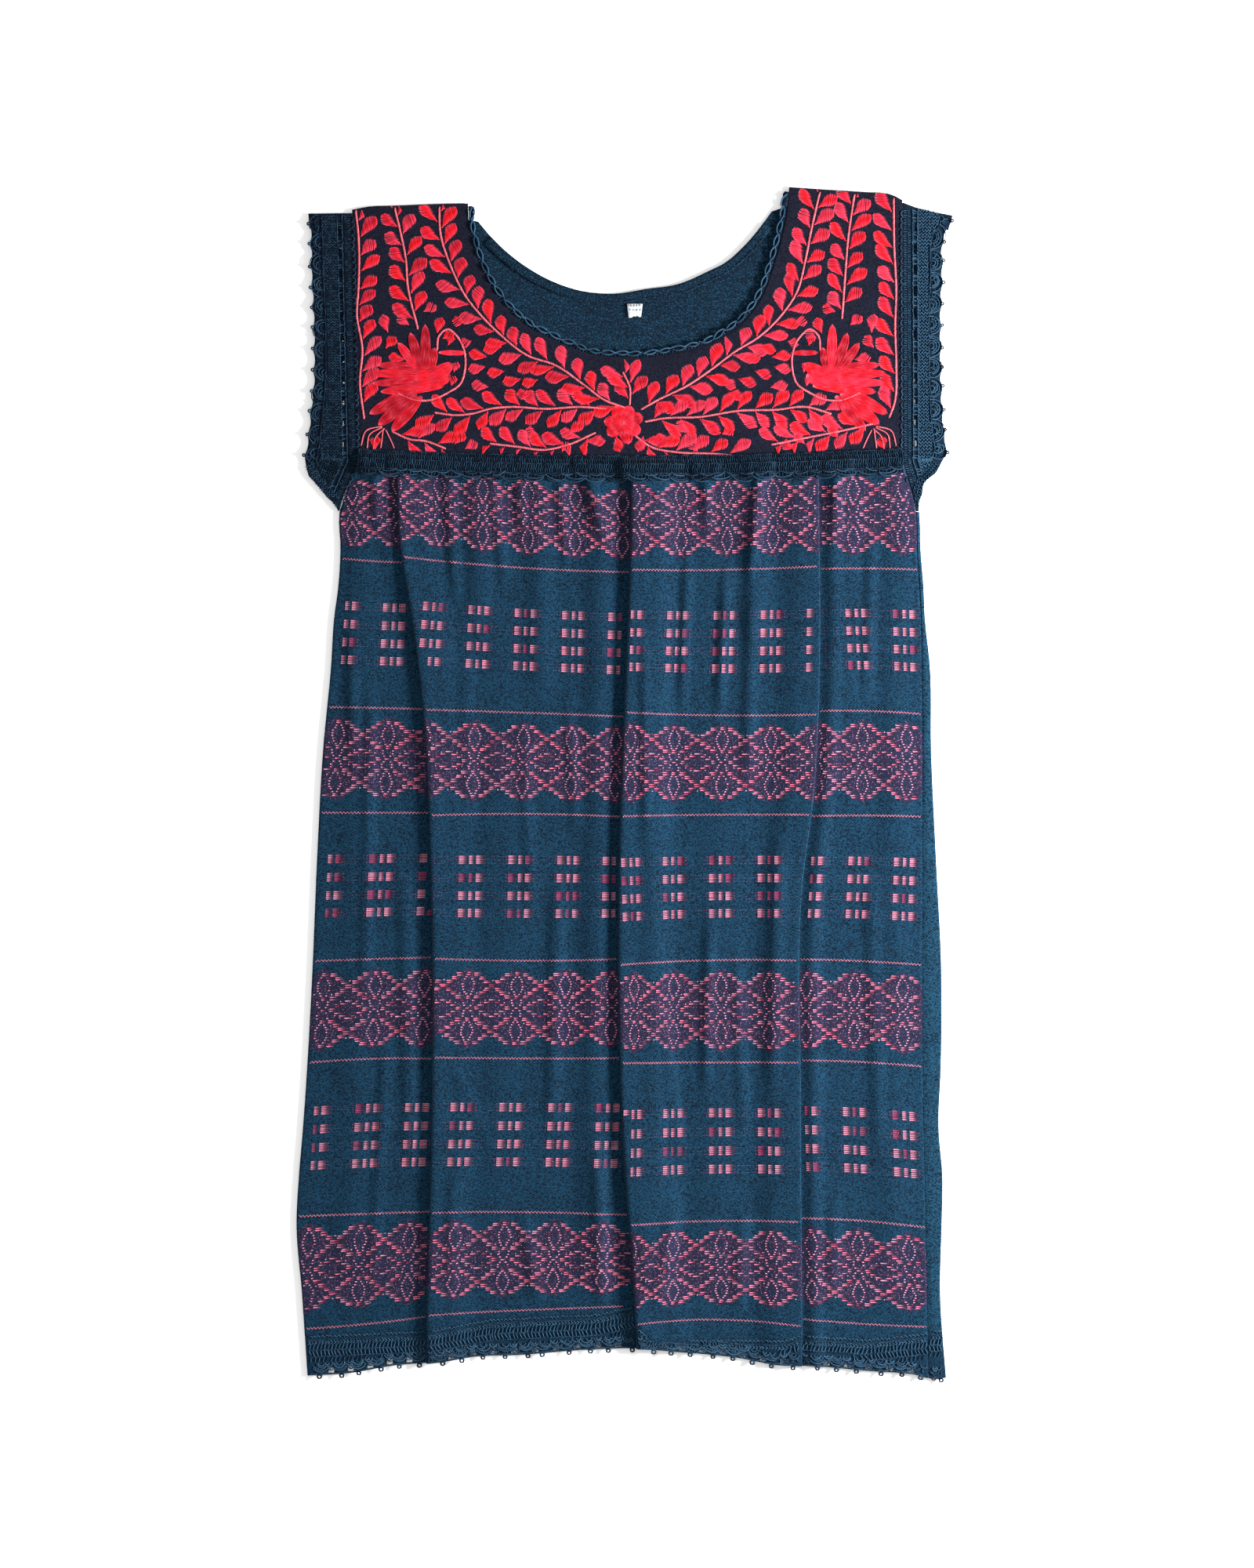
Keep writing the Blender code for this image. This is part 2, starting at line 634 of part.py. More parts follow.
def band_height(x, y):
    """Height of the yoke band, clear of every fold of the skirt under it."""
    places = [x + step for step in range(-BAND_REACH, BAND_REACH + 1)]
    return max(skirt_top_height(place, y) for place in places)


def yoke_band():
    """Crocheted band that lies over the seam between yoke and skirt, scalloped below."""
    left = side_x("left", TRIM_SIDE_Y) + BAND_INSET
    right = side_x("right", TRIM_SIDE_Y) - BAND_INSET
    clear = WALL / 2 + SEAM_GAP + LACE_WALL / 2
    rows = [[], [], []]
    for k in range(BAND_STEPS + 1):
        x = left + (right - left) * k / BAND_STEPS
        seam = seam_y(x)
        scallop = BAND_SCALLOP if k % 2 else -BAND_SCALLOP
        over = band_height(x, seam) + clear
        rows[0].append((x, seam + BAND_DEPTH / 2, FRONT_LAYER + clear))
        rows[1].append((x, seam + BAND_DEPTH / 8, over))
        rows[2].append((x, seam - BAND_DEPTH / 2 + scallop, over))
    return cloth("yoke_band", rows, LACE_WALL, CROCHET)


def sleeve_strip(name, side, table, top, picot_at, front):
    """One half of a crocheted sleeve, with a ladder of slots and picots on its outer edge.

    side is -1 on the left and 1 on the right. The front half also goes over the shoulder.
    """
    edge = "left" if side < 0 else "right"
    tip = table[-1].y
    turn = LAYER_PITCH / 2
    reach = turn + LACE_WALL / 2
    inset = 0.0 if front else SLEEVE_BACK_INSET
    periods = round((table[0].y - tip) / SLEEVE_PITCH)
    levels = [0.0]
    for period in range(periods):
        levels += [(period + picot_at) / periods, (period + LADDER_SHARE) / periods,
                   (period + 1) / periods]

    def across(share, y):
        """Place across the strip, from its seam to its outer edge."""
        inner = side_x(edge, y) + side * SEAM_GAP
        outer = at(table, "y", "outer", y) - side * inset
        width = max(SLEEVE_TIP, side * (outer - inner))
        return inner + side * width * share

    def fold(share):
        """Height of the fold line at a share of the strip's width."""
        x = across(share, table[0].y)
        return at([EdgeRow(*point) for point in top], "x", "y", x)

    def strip_row(drops, height, picot=0.0):
        """Row of the strip, each point a drop below the fold line."""
        row = []
        for share, drop in zip(SLEEVE_ACROSS, drops):
            y = fold(share) - drop
            outward = side * picot if share == 1.0 else 0.0
            row.append((across(share, y) + outward, y, height))
        return row

    first = reach if front else SHOULDER_RETURN + SEAM_GAP
    height = FRONT_LAYER if front else FLOOR_LAYER
    rows = []
    if front:
        rows += [strip_row([drop] * 4, FLOOR_LAYER) for drop in (SHOULDER_RETURN, reach)]
        for k in range(1, TURN_STEPS):
            angle = math.pi * k / TURN_STEPS
            rows.append(strip_row([reach - turn * math.sin(angle)] * 4,
                                  FLOOR_LAYER + turn * (1 - math.cos(angle))))
    plain = len(rows)
    for k, level in enumerate(levels):
        drops = [first + (fold(share) - first - tip) * level for share in SLEEVE_ACROSS]
        rows.append(strip_row(drops, height, PICOT if k % 3 == 1 and level < PICOT_END else 0.0))
    last_slot = plain + 3 * int(periods * LADDER_END)

    def slot(row, strip):
        """Cells of the ladder that are open."""
        return strip == 1 and plain < row < last_slot and (row - plain) % 3 == 2

    return cloth(name, rows, LACE_WALL, CROCHET, slot)


def trim_rows(y_top, y_edge):
    """Heights of the hem crochet's rows: top, window top, window foot and edge."""
    foot = y_edge + WINDOW_BAR
    return [y_top, foot + WINDOW_DEPTH, foot, y_edge]


def trim_spots(width):
    """Shares of a stretch of hem crochet: each repeat's window, its far side and its picot."""
    periods = max(1, round(width / HEM_PITCH))
    spots = [0.0]
    for period in range(periods):
        spots += [(period + WINDOW_SHARE) / periods, (period + HEM_PICOT_AT) / periods,
                  (period + 1) / periods]
    return spots


def hem_lace_front():
    """Crocheted hem of the front, which follows every fold of the cloth above it."""
    spots = {}
    shares = {}
    for panel in PANELS:
        left, right = panel_span(panel, BACK_HEM_Y)
        spots[panel] = trim_spots(right - left)
        corners = [row.u for row in HEM if row.panel == panel and 0.0 < row.u < 1.0]
        shares[panel] = sorted(set(spots[panel] + corners))
    stations = front_stations(shares)
    rows = [[], [], [], []]
    windows = set()
    for c, station in enumerate(stations):
        y_top = station_hem(station) - SEAM_GAP
        y_edge = trim_edge_y(front_point(station, TRIM_LOW)[0])
        repeat = -1
        if station.part == "panel" and station.t in spots[station.place]:
            repeat = spots[station.place].index(station.t)
        if repeat > 0 and repeat % 3 == 0 and station.t < 1.0:
            if stations[c + 1].t == spots[station.place][repeat + 1]:
                windows.add(c)
        for r, y in enumerate(trim_rows(y_top, y_edge)):
            x, z = front_point(station, y)
            if r == 3 and repeat % 3 == 2 and repeat > 0:
                y -= HEM_PICOT
            rows[r].append((x, y, z))
    return cloth("hem_lace_front", rows, LACE_WALL, CROCHET, lambda r, c: r == 1 and c in windows)


def hem_lace_back():
    """Crocheted hem of the back, round the right edge to the side seam."""
    spots = trim_spots(back_right(BACK_HEM_Y) - back_left(BACK_HEM_Y))
    y_top = BACK_HEM_Y - SEAM_GAP
    rows = [[], [], [], []]
    for c, t in enumerate(spots):
        x_low = back_left(TRIM_LOW) + (back_right(TRIM_LOW) - back_left(TRIM_LOW)) * t
        lift = BACK_TRIM_LIFT * smooth((1.0 - t) / BACK_TRIM_EASE)
        for r, y in enumerate(trim_rows(y_top, trim_edge_y(x_low) + lift)):
            x = back_left(y) + (back_right(y) - back_left(y)) * t
            if r == 3 and c % 3 == 2:
                y -= HEM_PICOT
            rows[r].append((x, y, FLOOR_LAYER))
    wrap = [("turn", k / TURN_STEPS) for k in range(1, TURN_STEPS + 1)] + [("strip", 0.5), ("strip", 1.0)]
    for part, t in wrap:
        x_low = wrap_point(part, t, TRIM_LOW)[0]
        for r, y in enumerate(trim_rows(y_top, trim_edge_y(x_low))):
            x, z = wrap_point(part, t, y)
            rows[r].append((x, y, z))
    last = len(spots) - 1
    return cloth("hem_lace_back", rows, LACE_WALL, CROCHET,
                 lambda r, c: r == 1 and c % 3 == 0 and 0 < c < last)


for old in list(bpy.data.objects):
    bpy.data.objects.remove(old, do_unlink=True)
dress = bpy.data.collections.new("handwoven_dress")
bpy.context.scene.collection.children.link(dress)

back_panel()
skirt_front()
yoke_front()
yoke_band()
sleeve_strip("sleeve_left_front", -1, LEFT_SLEEVE, LEFT_SLEEVE_TOP, LEFT_PICOT_AT, True)
sleeve_strip("sleeve_left_back", -1, LEFT_SLEEVE, LEFT_SLEEVE_TOP, LEFT_PICOT_AT, False)
sleeve_strip("sleeve_right_front", 1, RIGHT_SLEEVE, RIGHT_SLEEVE_TOP, RIGHT_PICOT_AT, True)
sleeve_strip("sleeve_right_back", 1, RIGHT_SLEEVE, RIGHT_SLEEVE_TOP, RIGHT_PICOT_AT, False)
hem_lace_front()
hem_lace_back()
neck_edging()
neck_facing()
neck_label()
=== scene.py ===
"""Handwoven cotton dress laid flat: brocaded skirt, embroidered yoke and crocheted trims.

Lengths in the tables are in millimetres, and the meshes are made in metres.
"""
import itertools
import math
from collections import namedtuple

import bpy
import numpy as np
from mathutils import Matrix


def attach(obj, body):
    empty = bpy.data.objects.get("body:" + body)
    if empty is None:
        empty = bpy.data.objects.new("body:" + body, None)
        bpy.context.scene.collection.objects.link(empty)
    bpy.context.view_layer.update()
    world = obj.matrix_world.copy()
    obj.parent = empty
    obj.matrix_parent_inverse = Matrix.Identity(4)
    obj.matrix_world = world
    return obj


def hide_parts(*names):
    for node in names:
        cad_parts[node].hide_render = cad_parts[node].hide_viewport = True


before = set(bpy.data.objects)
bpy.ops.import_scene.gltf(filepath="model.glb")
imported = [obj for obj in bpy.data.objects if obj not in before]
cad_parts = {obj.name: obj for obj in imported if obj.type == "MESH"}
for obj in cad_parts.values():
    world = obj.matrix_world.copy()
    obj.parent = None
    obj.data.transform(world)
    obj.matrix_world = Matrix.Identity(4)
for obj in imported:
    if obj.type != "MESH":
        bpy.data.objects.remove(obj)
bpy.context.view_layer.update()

MM = 0.001
SEED = 7

# Layers of cloth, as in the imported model: heights are those of the middle of the wall.
WALL = 1.2
LACE_WALL = 1.0
SEAM_GAP = 0.3
LAYER_PITCH = 1.8
PLEAT_PITCH = 1.6
FLOOR_LAYER = WALL / 2
FRONT_LAYER = FLOOR_LAYER + LAYER_PITCH
TURN_STEPS = 4
NORMAL_STEP = 0.004


def rows_of(kind, rows):
    """Rows of a table as named tuples."""
    return [kind(*row) for row in rows]


def panel_rows(kind, groups):
    """Rows of a table for each stretch of the skirt front."""
    return {panel: rows_of(kind, rows) for panel, rows in groups.items()}


SideRow = namedtuple("SideRow", "y left seam right under")
SIDES = rows_of(SideRow, [
    (262, -219.6, 225.2, 228.4, 4.0), (222, -234.6, 235.6, 238.6, 4.0), (192, -233.9, 236.5, 239.6, 5.0),
    (160, -235.8, 238.4, 242.2, 8.0), (136, -239.0, 239.7, 243.2, 12.0),
    (96, -241.6, 240.3, 247.4, 15.0), (30, -247.9, 241.0, 248.3, 15.0),
    (-64, -253.1, 241.0, 252.5, 15.0), (-150, -256.7, 241.0, 256.6, 15.0),
    (-230, -261.0, 241.4, 256.3, 15.0), (-282, -264.6, 242.0, 254.4, 15.0),
    (-320, -267.8, 242.9, 257.6, 15.0), (-358, -269.8, 243.5, 257.0, 15.0),
    (-416, -265.3, 244.8, 255.7, 15.0), (-484, -260.8, 246.0, 260.5, 15.0),
])
SIDE_TOP = 262
WRAP_TOP = 222
TRIM_SAG = 6.0
TRIM_SIDE_Y = 263.5
TRIM_HALF_WIDTH = 226.0

PleatRow = namedtuple("PleatRow", "y edge depth")
PLEAT_LEFT = rows_of(PleatRow, [
    (262, -187.8, 8), (198, -185.3, 9), (128, -174.4, 10), (64, -166.7, 11), (-64, -160.3, 12),
    (-256, -159.0, 13), (-450, -163.8, 14),
])
PLEAT_CENTRE = rows_of(PleatRow, [
    (262, 3.5, 13), (198, 2.9, 14), (64, -2.2, 16), (-64, -6.7, 18), (-192, -6.7, 19), (-320, -1.6, 20),
    (-384, 3.5, 21), (-450, 7.4, 22),
])
PLEAT_RIGHT = rows_of(PleatRow, [
    (262, 156.5, 8), (64, 156.5, 10), (0, 153.3, 11), (-84, 143.0, 12), (-256, 141.8, 13),
    (-450, 143.0, 14),
])
PLEAT_CRESTS = {"left": 2.0, "middle": 3.4, "centre": 0.4}
LIP = 2.4
LIP_AT = 10.5
LIP_HALF = 5.2
PLEAT_HOLD = 3.0
PLEAT_FALL = 24.0
CREST_FALL = 2.0

RidgeRow = namedtuple("RidgeRow", "x_top x_low y_top y_low height half_width")
RIDGES = panel_rows(RidgeRow, {
    "left": [(-214, -226, 262, -420, 1.4, 11), (-199, -190, 262, 150, 1.8, 6)],
    "middle": [
        (-120, -122, 262, 110, 2.4, 9), (-72, -70, 262, 60, 2.0, 8), (-20, -28, 262, -430, 2.6, 10),
        (-98, -112, 60, -430, 1.2, 16),
    ],
    "centre": [(24, 22, 262, -440, 2.2, 11), (103, 106, 262, 90, 2.2, 8), (78, 70, 40, -430, 1.3, 16)],
    "right": [(178, 182, 262, 40, 1.6, 9), (220, 216, 262, -430, 1.5, 10)],
})
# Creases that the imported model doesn't have.
CREASES = panel_rows(RidgeRow, {
    "left": [
        (-208, -214, 90, -190, 1.8, 4), (-182, -176, -60, -330, 1.7, 5),
        (-186, -184, 262, 205, 2.6, 3.5), (-196, -208, -200, -420, 1.8, 4),
        (-206, -203, 262, 190, 2.4, 3.5), (-226, -222, 150, 0, 1.6, 4),
    ],
    "middle": [
        (-110, -99, 262, 150, 2.6, 3.5), (-56, -48, 262, 165, 2.5, 3.5), (-88, -84, 262, 180, 2.4, 3.2),
        (-34, -14, 262, 180, 3.2, 4), (-146, -138, 262, 130, 2.4, 4), (-132, -128, 120, -40, 2.0, 5),
        (-154, -122, -208, -272, 2.2, 3), (-142, -108, -230, -296, 1.8, 3.5),
        (-56, -62, -60, -300, 2.0, 5), (-88, -70, -330, -436, 2.2, 5), (-24, -20, -280, -440, 2.4, 4.5),
        (-84, -78, 60, -120, 1.5, 4.5), (-140, -146, -300, -430, 1.9, 4.5), (-48, -40, 80, -60, 1.6, 4),
    ],
    "centre": [
        (50, 44, 200, 40, 2.3, 3.5), (82, 74, 190, 40, 2.5, 3.5), (64, 66, 262, 190, 2.6, 3.5),
        (109, 99, 262, 150, 3.0, 3.5), (102, 98, 170, -20, 2.2, 4.5), (68, 64, -90, -270, 2.1, 4),
        (14, 16, 130, -60, 1.9, 3.5), (124, 118, -30, -260, 1.8, 5), (44, 22, -310, -446, 2.4, 5),
        (30, 46, -180, -330, 1.7, 4.5), (96, 90, -330, -446, 1.9, 5), (88, 96, -120, -300, 1.6, 4),
    ],
    "right": [
        (200, 195, 220, 50, 2.0, 4), (198, 206, -60, -320, 1.8, 5), (172, 170, 262, 190, 2.4, 3.5),
        (170, 166, -320, -446, 1.9, 4.5),
    ],
})
RIDGE_END = 45.0
RIDGE_MARGIN = 9.0

HemRow = namedtuple("HemRow", "u y")
HEM = panel_rows(HemRow, {
    "left": [(0.0, -450.5), (1.0, -446.5)],
    "middle": [(0.0, -446.0), (0.3, -437.0), (0.8, -433.0), (1.0, -426.0)],
    "centre": [(0.0, -444.0), (0.1, -453.5), (0.9, -454.0), (1.0, -449.0)],
    "right": [(0.0, -450.0), (0.5, -453.5), (1.0, -448.0)],
})
EdgeRow = namedtuple("EdgeRow", "x y")
TRIM_EDGE = rows_of(EdgeRow, [
    (-262, -482.5), (-228, -480.5), (-189, -474.0), (-151, -471.0), (-125, -467.0), (-87, -465.5),
    (-36, -461.5), (16, -460.5), (42, -463.0), (93, -468.5), (118, -473.0), (157, -475.0), (195, -478.5),
    (233, -481.5), (252.5, -485.3), (261, -484.0),
])
BACK_HEM_Y = -446.0
BACK_TRIM_LIFT = 6.4
BACK_TRIM_EASE = 0.05
TRIM_LOW = -470.0

FRONT_NECK = [
    (-127.0, 471.4), (-126.0, 454.0), (-121.9, 436.5), (-109.8, 409.0), (-97.6, 391.7), (-80.3, 376.3),
    (-56.6, 364.2), (-29.1, 353.4), (-0.3, 350.8), (35.5, 353.6), (69.4, 363.5), (91.8, 378.2),
    (107.2, 398.7), (118.1, 428.8), (125.8, 458.9), (129.6, 483.2),
]
BACK_NECK = [
    (-121.5, 459.0), (-112.3, 448.0), (-99.5, 435.2), (-86.7, 425.0), (-61.1, 410.2),
    (-35.5, 401.9), (-9.9, 400.0), (15.7, 403.8), (41.3, 407.7), (66.9, 418.6), (79.7, 425.0),
    (92.5, 435.8), (105.3, 449.9), (118.1, 467.2),
]
LEFT_SHOULDER = [(-224.3, 468.6), (-210.0, 471.2), (-189.1, 471.9), (-150.7, 473.4), (-127.0, 473.8)]
RIGHT_SHOULDER = [(129.6, 487.0), (156.5, 485.2), (194.9, 482.8), (216.0, 481.0), (224.6, 476.5)]
ArmholeRow = namedtuple("ArmholeRow", "y left right")
ARMHOLES = rows_of(ArmholeRow, [(482, -224.6, 224.6), (262, -219.6, 225.2)])
SHOULDER_RETURN = 12.0
STRAP_EASE = 2.7
EDGING_WIDTH = 4.8


def column(rows, field):
    """One named column of a table, as an array in the table's order."""
    return np.array([getattr(row, field) for row in rows], dtype=float)


def joined(*parts):
    """Points from arrays of their coordinates, or from numbers that all of them share."""
    return np.stack(np.broadcast_arrays(*parts), axis=-1)


def evenly(steps):
    """Even shares from 0 to 1."""
    return np.linspace(0.0, 1.0, steps + 1)


def curve(t, span, start, end, slope, end_slope):
    """Smooth curve between two of its points, at a share t of their span."""
    first = (2 * t**3 - 3 * t**2 + 1) * start + (t**3 - 2 * t**2 + t) * span * slope
    return first + (3 * t**2 - 2 * t**3) * end + (t**3 - t**2) * span * end_slope


def at(rows, field, value):
    """A table's field at values of its first column, on a smooth curve through the rows."""
    keys, values = column(rows, rows[0]._fields[0]), column(rows, field)
    if keys[0] > keys[-1]:
        keys, values = keys[::-1], values[::-1]
    slopes = np.gradient(values, keys)
    value = np.clip(value, keys[0], keys[-1])
    k = np.clip(np.searchsorted(keys, value, side="right") - 1, 0, len(keys) - 2)
    span = keys[k + 1] - keys[k]
    t = (value - keys[k]) / span
    return curve(t, span, values[k], values[k + 1], slopes[k], slopes[k + 1])


def smooth(value):
    """Smooth step from 0 to 1."""
    value = np.clip(value, 0.0, 1.0)
    return value * value * (3.0 - 2.0 * value)


def bell(distance, half_width):
    """Rounded ridge profile, 1 at its crest and 0 beyond twice its half width."""
    return 0.5 + 0.5 * np.cos(math.pi * np.minimum(1.0, np.abs(distance) / (2.0 * half_width)))


def path_at(points, share):
    """Points at shares of the length of a path, on a smooth curve through its points."""
    points = np.array(points, dtype=float)
    steps = np.hypot(*np.diff(points, axis=0).T)
    length = np.concatenate([[0.0], np.cumsum(steps)])
    slopes = np.gradient(points, length, axis=0)
    where = np.asarray(share, dtype=float) * length[-1]
    k = np.clip(np.searchsorted(length, where, side="right") - 1, 0, len(steps) - 1)
    span = steps[k][..., None]
    t = (where[..., None] - length[k][..., None]) / span
    return curve(t, span, points[k], points[k + 1], slopes[k], slopes[k + 1])


def path_length(points):
    """Length of a path along its straight runs."""
    return float(np.hypot(*np.diff(np.array(points, dtype=float), axis=0).T).sum())


def path_tangent(points, share):
    """Unit direction of the smooth path."""
    share = np.asarray(share, dtype=float)
    along = (path_at(points, np.minimum(1.0, share + NORMAL_STEP))
             - path_at(points, np.maximum(0.0, share - NORMAL_STEP)))
    return along / np.linalg.norm(along, axis=-1, keepdims=True)


def turned_left(direction):
    """Directions turned a quarter to the left."""
    return joined(-direction[..., 1], direction[..., 0])


def beside(points, share, distance):
    """Points beside a smooth path at shares of its length, to the left where the distance is positive."""
    aside = np.asarray(distance)[..., None] * turned_left(path_tangent(points, share))
    return path_at(points, share) + aside


def seam_y(x):
    """Height of the seam between yoke and skirt, which sags in the middle."""
    return TRIM_SIDE_Y - TRIM_SAG * (1.0 - np.minimum(1.0, np.abs(x) / TRIM_HALF_WIDTH) ** 2)


def half_turn(radius, t):
    """How far a half turn of cloth reaches out, and how far it has risen, at a share t of it."""
    return radius * math.sin(math.pi * t), radius * (1 - math.cos(math.pi * t))


Station = namedtuple("Station", "part place t")
PANELS = ["left", "middle", "centre", "right"]
PANEL_RISES = {"left": (0, 0), "middle": (2, 0), "centre": (2, 2), "right": (0, 0)}
PANEL_PLEATS = {
    "left": (None, PLEAT_LEFT), "middle": (PLEAT_LEFT, PLEAT_CENTRE),
    "centre": (PLEAT_CENTRE, PLEAT_RIGHT), "right": (PLEAT_RIGHT, None),
}
PLEATS = {"left": (PLEAT_LEFT, 1), "middle": (PLEAT_CENTRE, 1), "centre": (PLEAT_RIGHT, -1)}
EDGE_TURN = LAYER_PITCH / 2
PLEAT_TURN = PLEAT_PITCH / 2
WRAP = [("turn", k / TURN_STEPS) for k in range(1, TURN_STEPS + 1)] + [("strip", 0.5), ("strip", 1.0)]


def panel_span(panel, y):
    """Left and right end of a stretch of the skirt front at heights y."""
    before, after = PANEL_PLEATS[panel]
    left = at(SIDES, "left", y) + EDGE_TURN + WALL / 2
    right = at(SIDES, "seam", y)
    if before is not None:
        left = at(before, "edge", y)
        if PANEL_RISES[panel][0]:
            left = left + PLEAT_TURN + WALL / 2
    if after is not None:
        right = at(after, "edge", y)
        if PANEL_RISES[panel][1]:
            right = right - PLEAT_TURN - WALL / 2
    return left, right


def panel_height(panel, x, y):
    """Height of the middle of the wall of a stretch of the skirt front."""
    left, right = panel_span(panel, y)
    before, after = PANEL_PLEATS[panel]
    height = FRONT_LAYER + 0.0 * x
    rises = PANEL_RISES[panel]
    neighbour = PANELS[PANELS.index(panel) - 1]
    folds = ((rises[0], before, x - left, neighbour), (rises[1], after, right - x, panel))
    for rise, pleat, distance, fold in folds:
        if rise:
            hold = at(pleat, "depth", y) + PLEAT_HOLD
            height = height + rise * PLEAT_PITCH * (1.0 - smooth((distance - hold) / PLEAT_FALL))
            height = height + PLEAT_CRESTS[fold] * (1.0 - smooth(distance / (hold + CREST_FALL)))
    if panel == "right":
        height = height + LIP * bell(x - left - LIP_AT, LIP_HALF)
    margin = smooth((x - left) / RIDGE_MARGIN) * smooth((right - x) / RIDGE_MARGIN)
    for ridge in RIDGES[panel] + CREASES[panel]:
        along = (ridge.y_top - y) / (ridge.y_top - ridge.y_low)
        centre = ridge.x_top + (ridge.x_low - ridge.x_top) * along
        begins = 1.0 if ridge.y_top == SIDE_TOP else smooth((ridge.y_top - y) / RIDGE_END)
        ends = smooth((y - ridge.y_low) / RIDGE_END)
        height = height + ridge.height * bell(x - centre, ridge.half_width) * margin * begins * ends
    return height


def left_return(y):
    """Ends of the cloth that is folded under at the left edge."""
    left = at(SIDES, "left", y)
    return left + at(SIDES, "under", y) + EDGE_TURN, left + EDGE_TURN + WALL / 2


def pleat_point(turn, place, t, y):
    """Points of a knife fold: t runs 0 to 1 up its lower turn, or up its upper turn."""
    rows, direction = PLEATS[place]
    edge = at(rows, "edge", y)
    reach, rise = half_turn(PLEAT_TURN, t)
    if turn == "lower":
        return edge + direction * (at(rows, "depth", y) + reach), FRONT_LAYER + rise
    x = edge + direction * (PLEAT_TURN + WALL / 2 - reach)
    return x, FRONT_LAYER + PLEAT_PITCH + rise * (1.0 + PLEAT_CRESTS[place] / PLEAT_PITCH)


def front_point(station, y):
    """Points (x, z) of the skirt front's section at a station and heights y."""
    part, place, t = station
    if part == "under":
        start, end = left_return(y)
        return start + (end - start) * t, FLOOR_LAYER
    if part == "edge":
        reach, rise = half_turn(EDGE_TURN, t)
        return left_return(y)[1] - reach, FLOOR_LAYER + rise
    if part == "panel":
        left, right = panel_span(place, y)
        x = left + (right - left) * t
        return x, panel_height(place, x, y)
    return pleat_point(part, place, t, y)


def front_stations(shares):
    """Stations of the whole section, with the shares of each stretch that are wanted."""
    turn = [k / TURN_STEPS for k in range(TURN_STEPS + 1)]
    stations = [Station("under", None, 0.0), Station("under", None, 1.0)]
    stations += [Station("edge", None, t) for t in turn[1:-1]]
    for panel in PANELS:
        stations += [Station("panel", panel, t) for t in shares[panel]]
        if panel in PLEATS:
            lower = [Station("lower", panel, t) for t in turn]
            upper = [Station("upper", panel, t) for t in turn[:-1]]
            stations += lower + upper if PLEATS[panel][1] > 0 else upper[::-1] + lower[::-1]
    return stations


def panel_hem(panel, u):
    """Lower edge of the cloth of a stretch, straight between the rows of its table."""
    return np.interp(u, column(HEM[panel], "u"), column(HEM[panel], "y"))


def station_hem(station):
    """Lower edge of the cloth at a station of the skirt front."""
    part, place, t = station
    if part in ("under", "edge"):
        return panel_hem("left", 0.0)
    if part == "panel":
        return panel_hem(place, t)
    before, after = panel_hem(place, 1.0), panel_hem(PANELS[PANELS.index(place) + 1], 0.0)
    if part == "lower":
        return (before + after) / 2.0
    return after if PLEATS[place][1] > 0 else before


def side_x(edge, y):
    """Left or right edge of the front: the armhole, and below it the side of the skirt."""
    above = at(ARMHOLES, edge, y)
    below = at(SIDES, "left" if edge == "left" else "seam", y)
    return np.where(np.asarray(y) > SIDE_TOP, above, below)


# Meshes from arrays, and the nodes of their materials.
def placed(name, data):
    """Object of its own in the scene."""
    thing = bpy.data.objects.new(name, data)
    bpy.context.scene.collection.objects.link(thing)
    return thing


def make_mesh(name, points, faces, material, tints=None, charts=None):
    """Object from points in millimetres and arrays of faces, smooth shaded."""
    mesh = bpy.data.meshes.new(name)
    polygons = [face for group in faces for face in group.tolist()]
    mesh.from_pydata((points * MM).tolist(), [], polygons)
    mesh.shade_smooth()
    if tints is not None:
        layer = mesh.attributes.new("tint", "FLOAT_COLOR", "POINT")
        colours = np.concatenate([tints, np.ones((len(tints), 1))], axis=1)
        layer.data.foreach_set("color", colours.ravel())
    if charts is not None:
        layer = mesh.attributes.new("chart", "FLOAT_VECTOR", "POINT")
        layer.data.foreach_set("vector", charts.ravel())
    mesh.materials.append(material)
    piece = placed(name, mesh)
    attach(piece, "root")
    return piece


def cloth(name, node, rows, wall, material, open_cell=None, charts=None):
    """Thin shell that stands for a node, through rows of points, thickened to both sides.

    A point is NaN where the sheet has none, and open_cell(row, column) leaves a window.
    """
    height, width = rows.shape[:2]
    r, c = np.meshgrid(np.arange(height - 1), np.arange(width - 1), indexing="ij")
    corners = joined(r * width + c, (r + 1) * width + c, (r + 1) * width + c + 1, r * width + c + 1)
    there = ~np.isnan(rows[..., 0]).ravel()
    keep = there[corners].all(axis=-1)
    if open_cell is not None:
        keep &= ~open_cell(r, c)
    faces = corners[keep]
    used = np.zeros(height * width, dtype=bool)
    used[faces.ravel()] = True
    index = np.cumsum(used) - 1
    chart = None if charts is None else charts.reshape(-1, 3)[used]
    piece = make_mesh(name, rows.reshape(-1, 3)[used], [index[faces]], material, charts=chart)
    thickness = piece.modifiers.new("wall", "SOLIDIFY")
    thickness.thickness = wall * MM
    thickness.offset = 0.0
    piece.modifiers.new("flat_normals", "WEIGHTED_NORMAL")
    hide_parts(node)
    return piece


RIBBON_SINK = 0.25
LEAST_STEP = 1e-6


def unit(vectors):
    """Vectors at a length of 1, where they have one."""
    return vectors / np.maximum(np.linalg.norm(vectors, axis=-1, keepdims=True), LEAST_STEP)


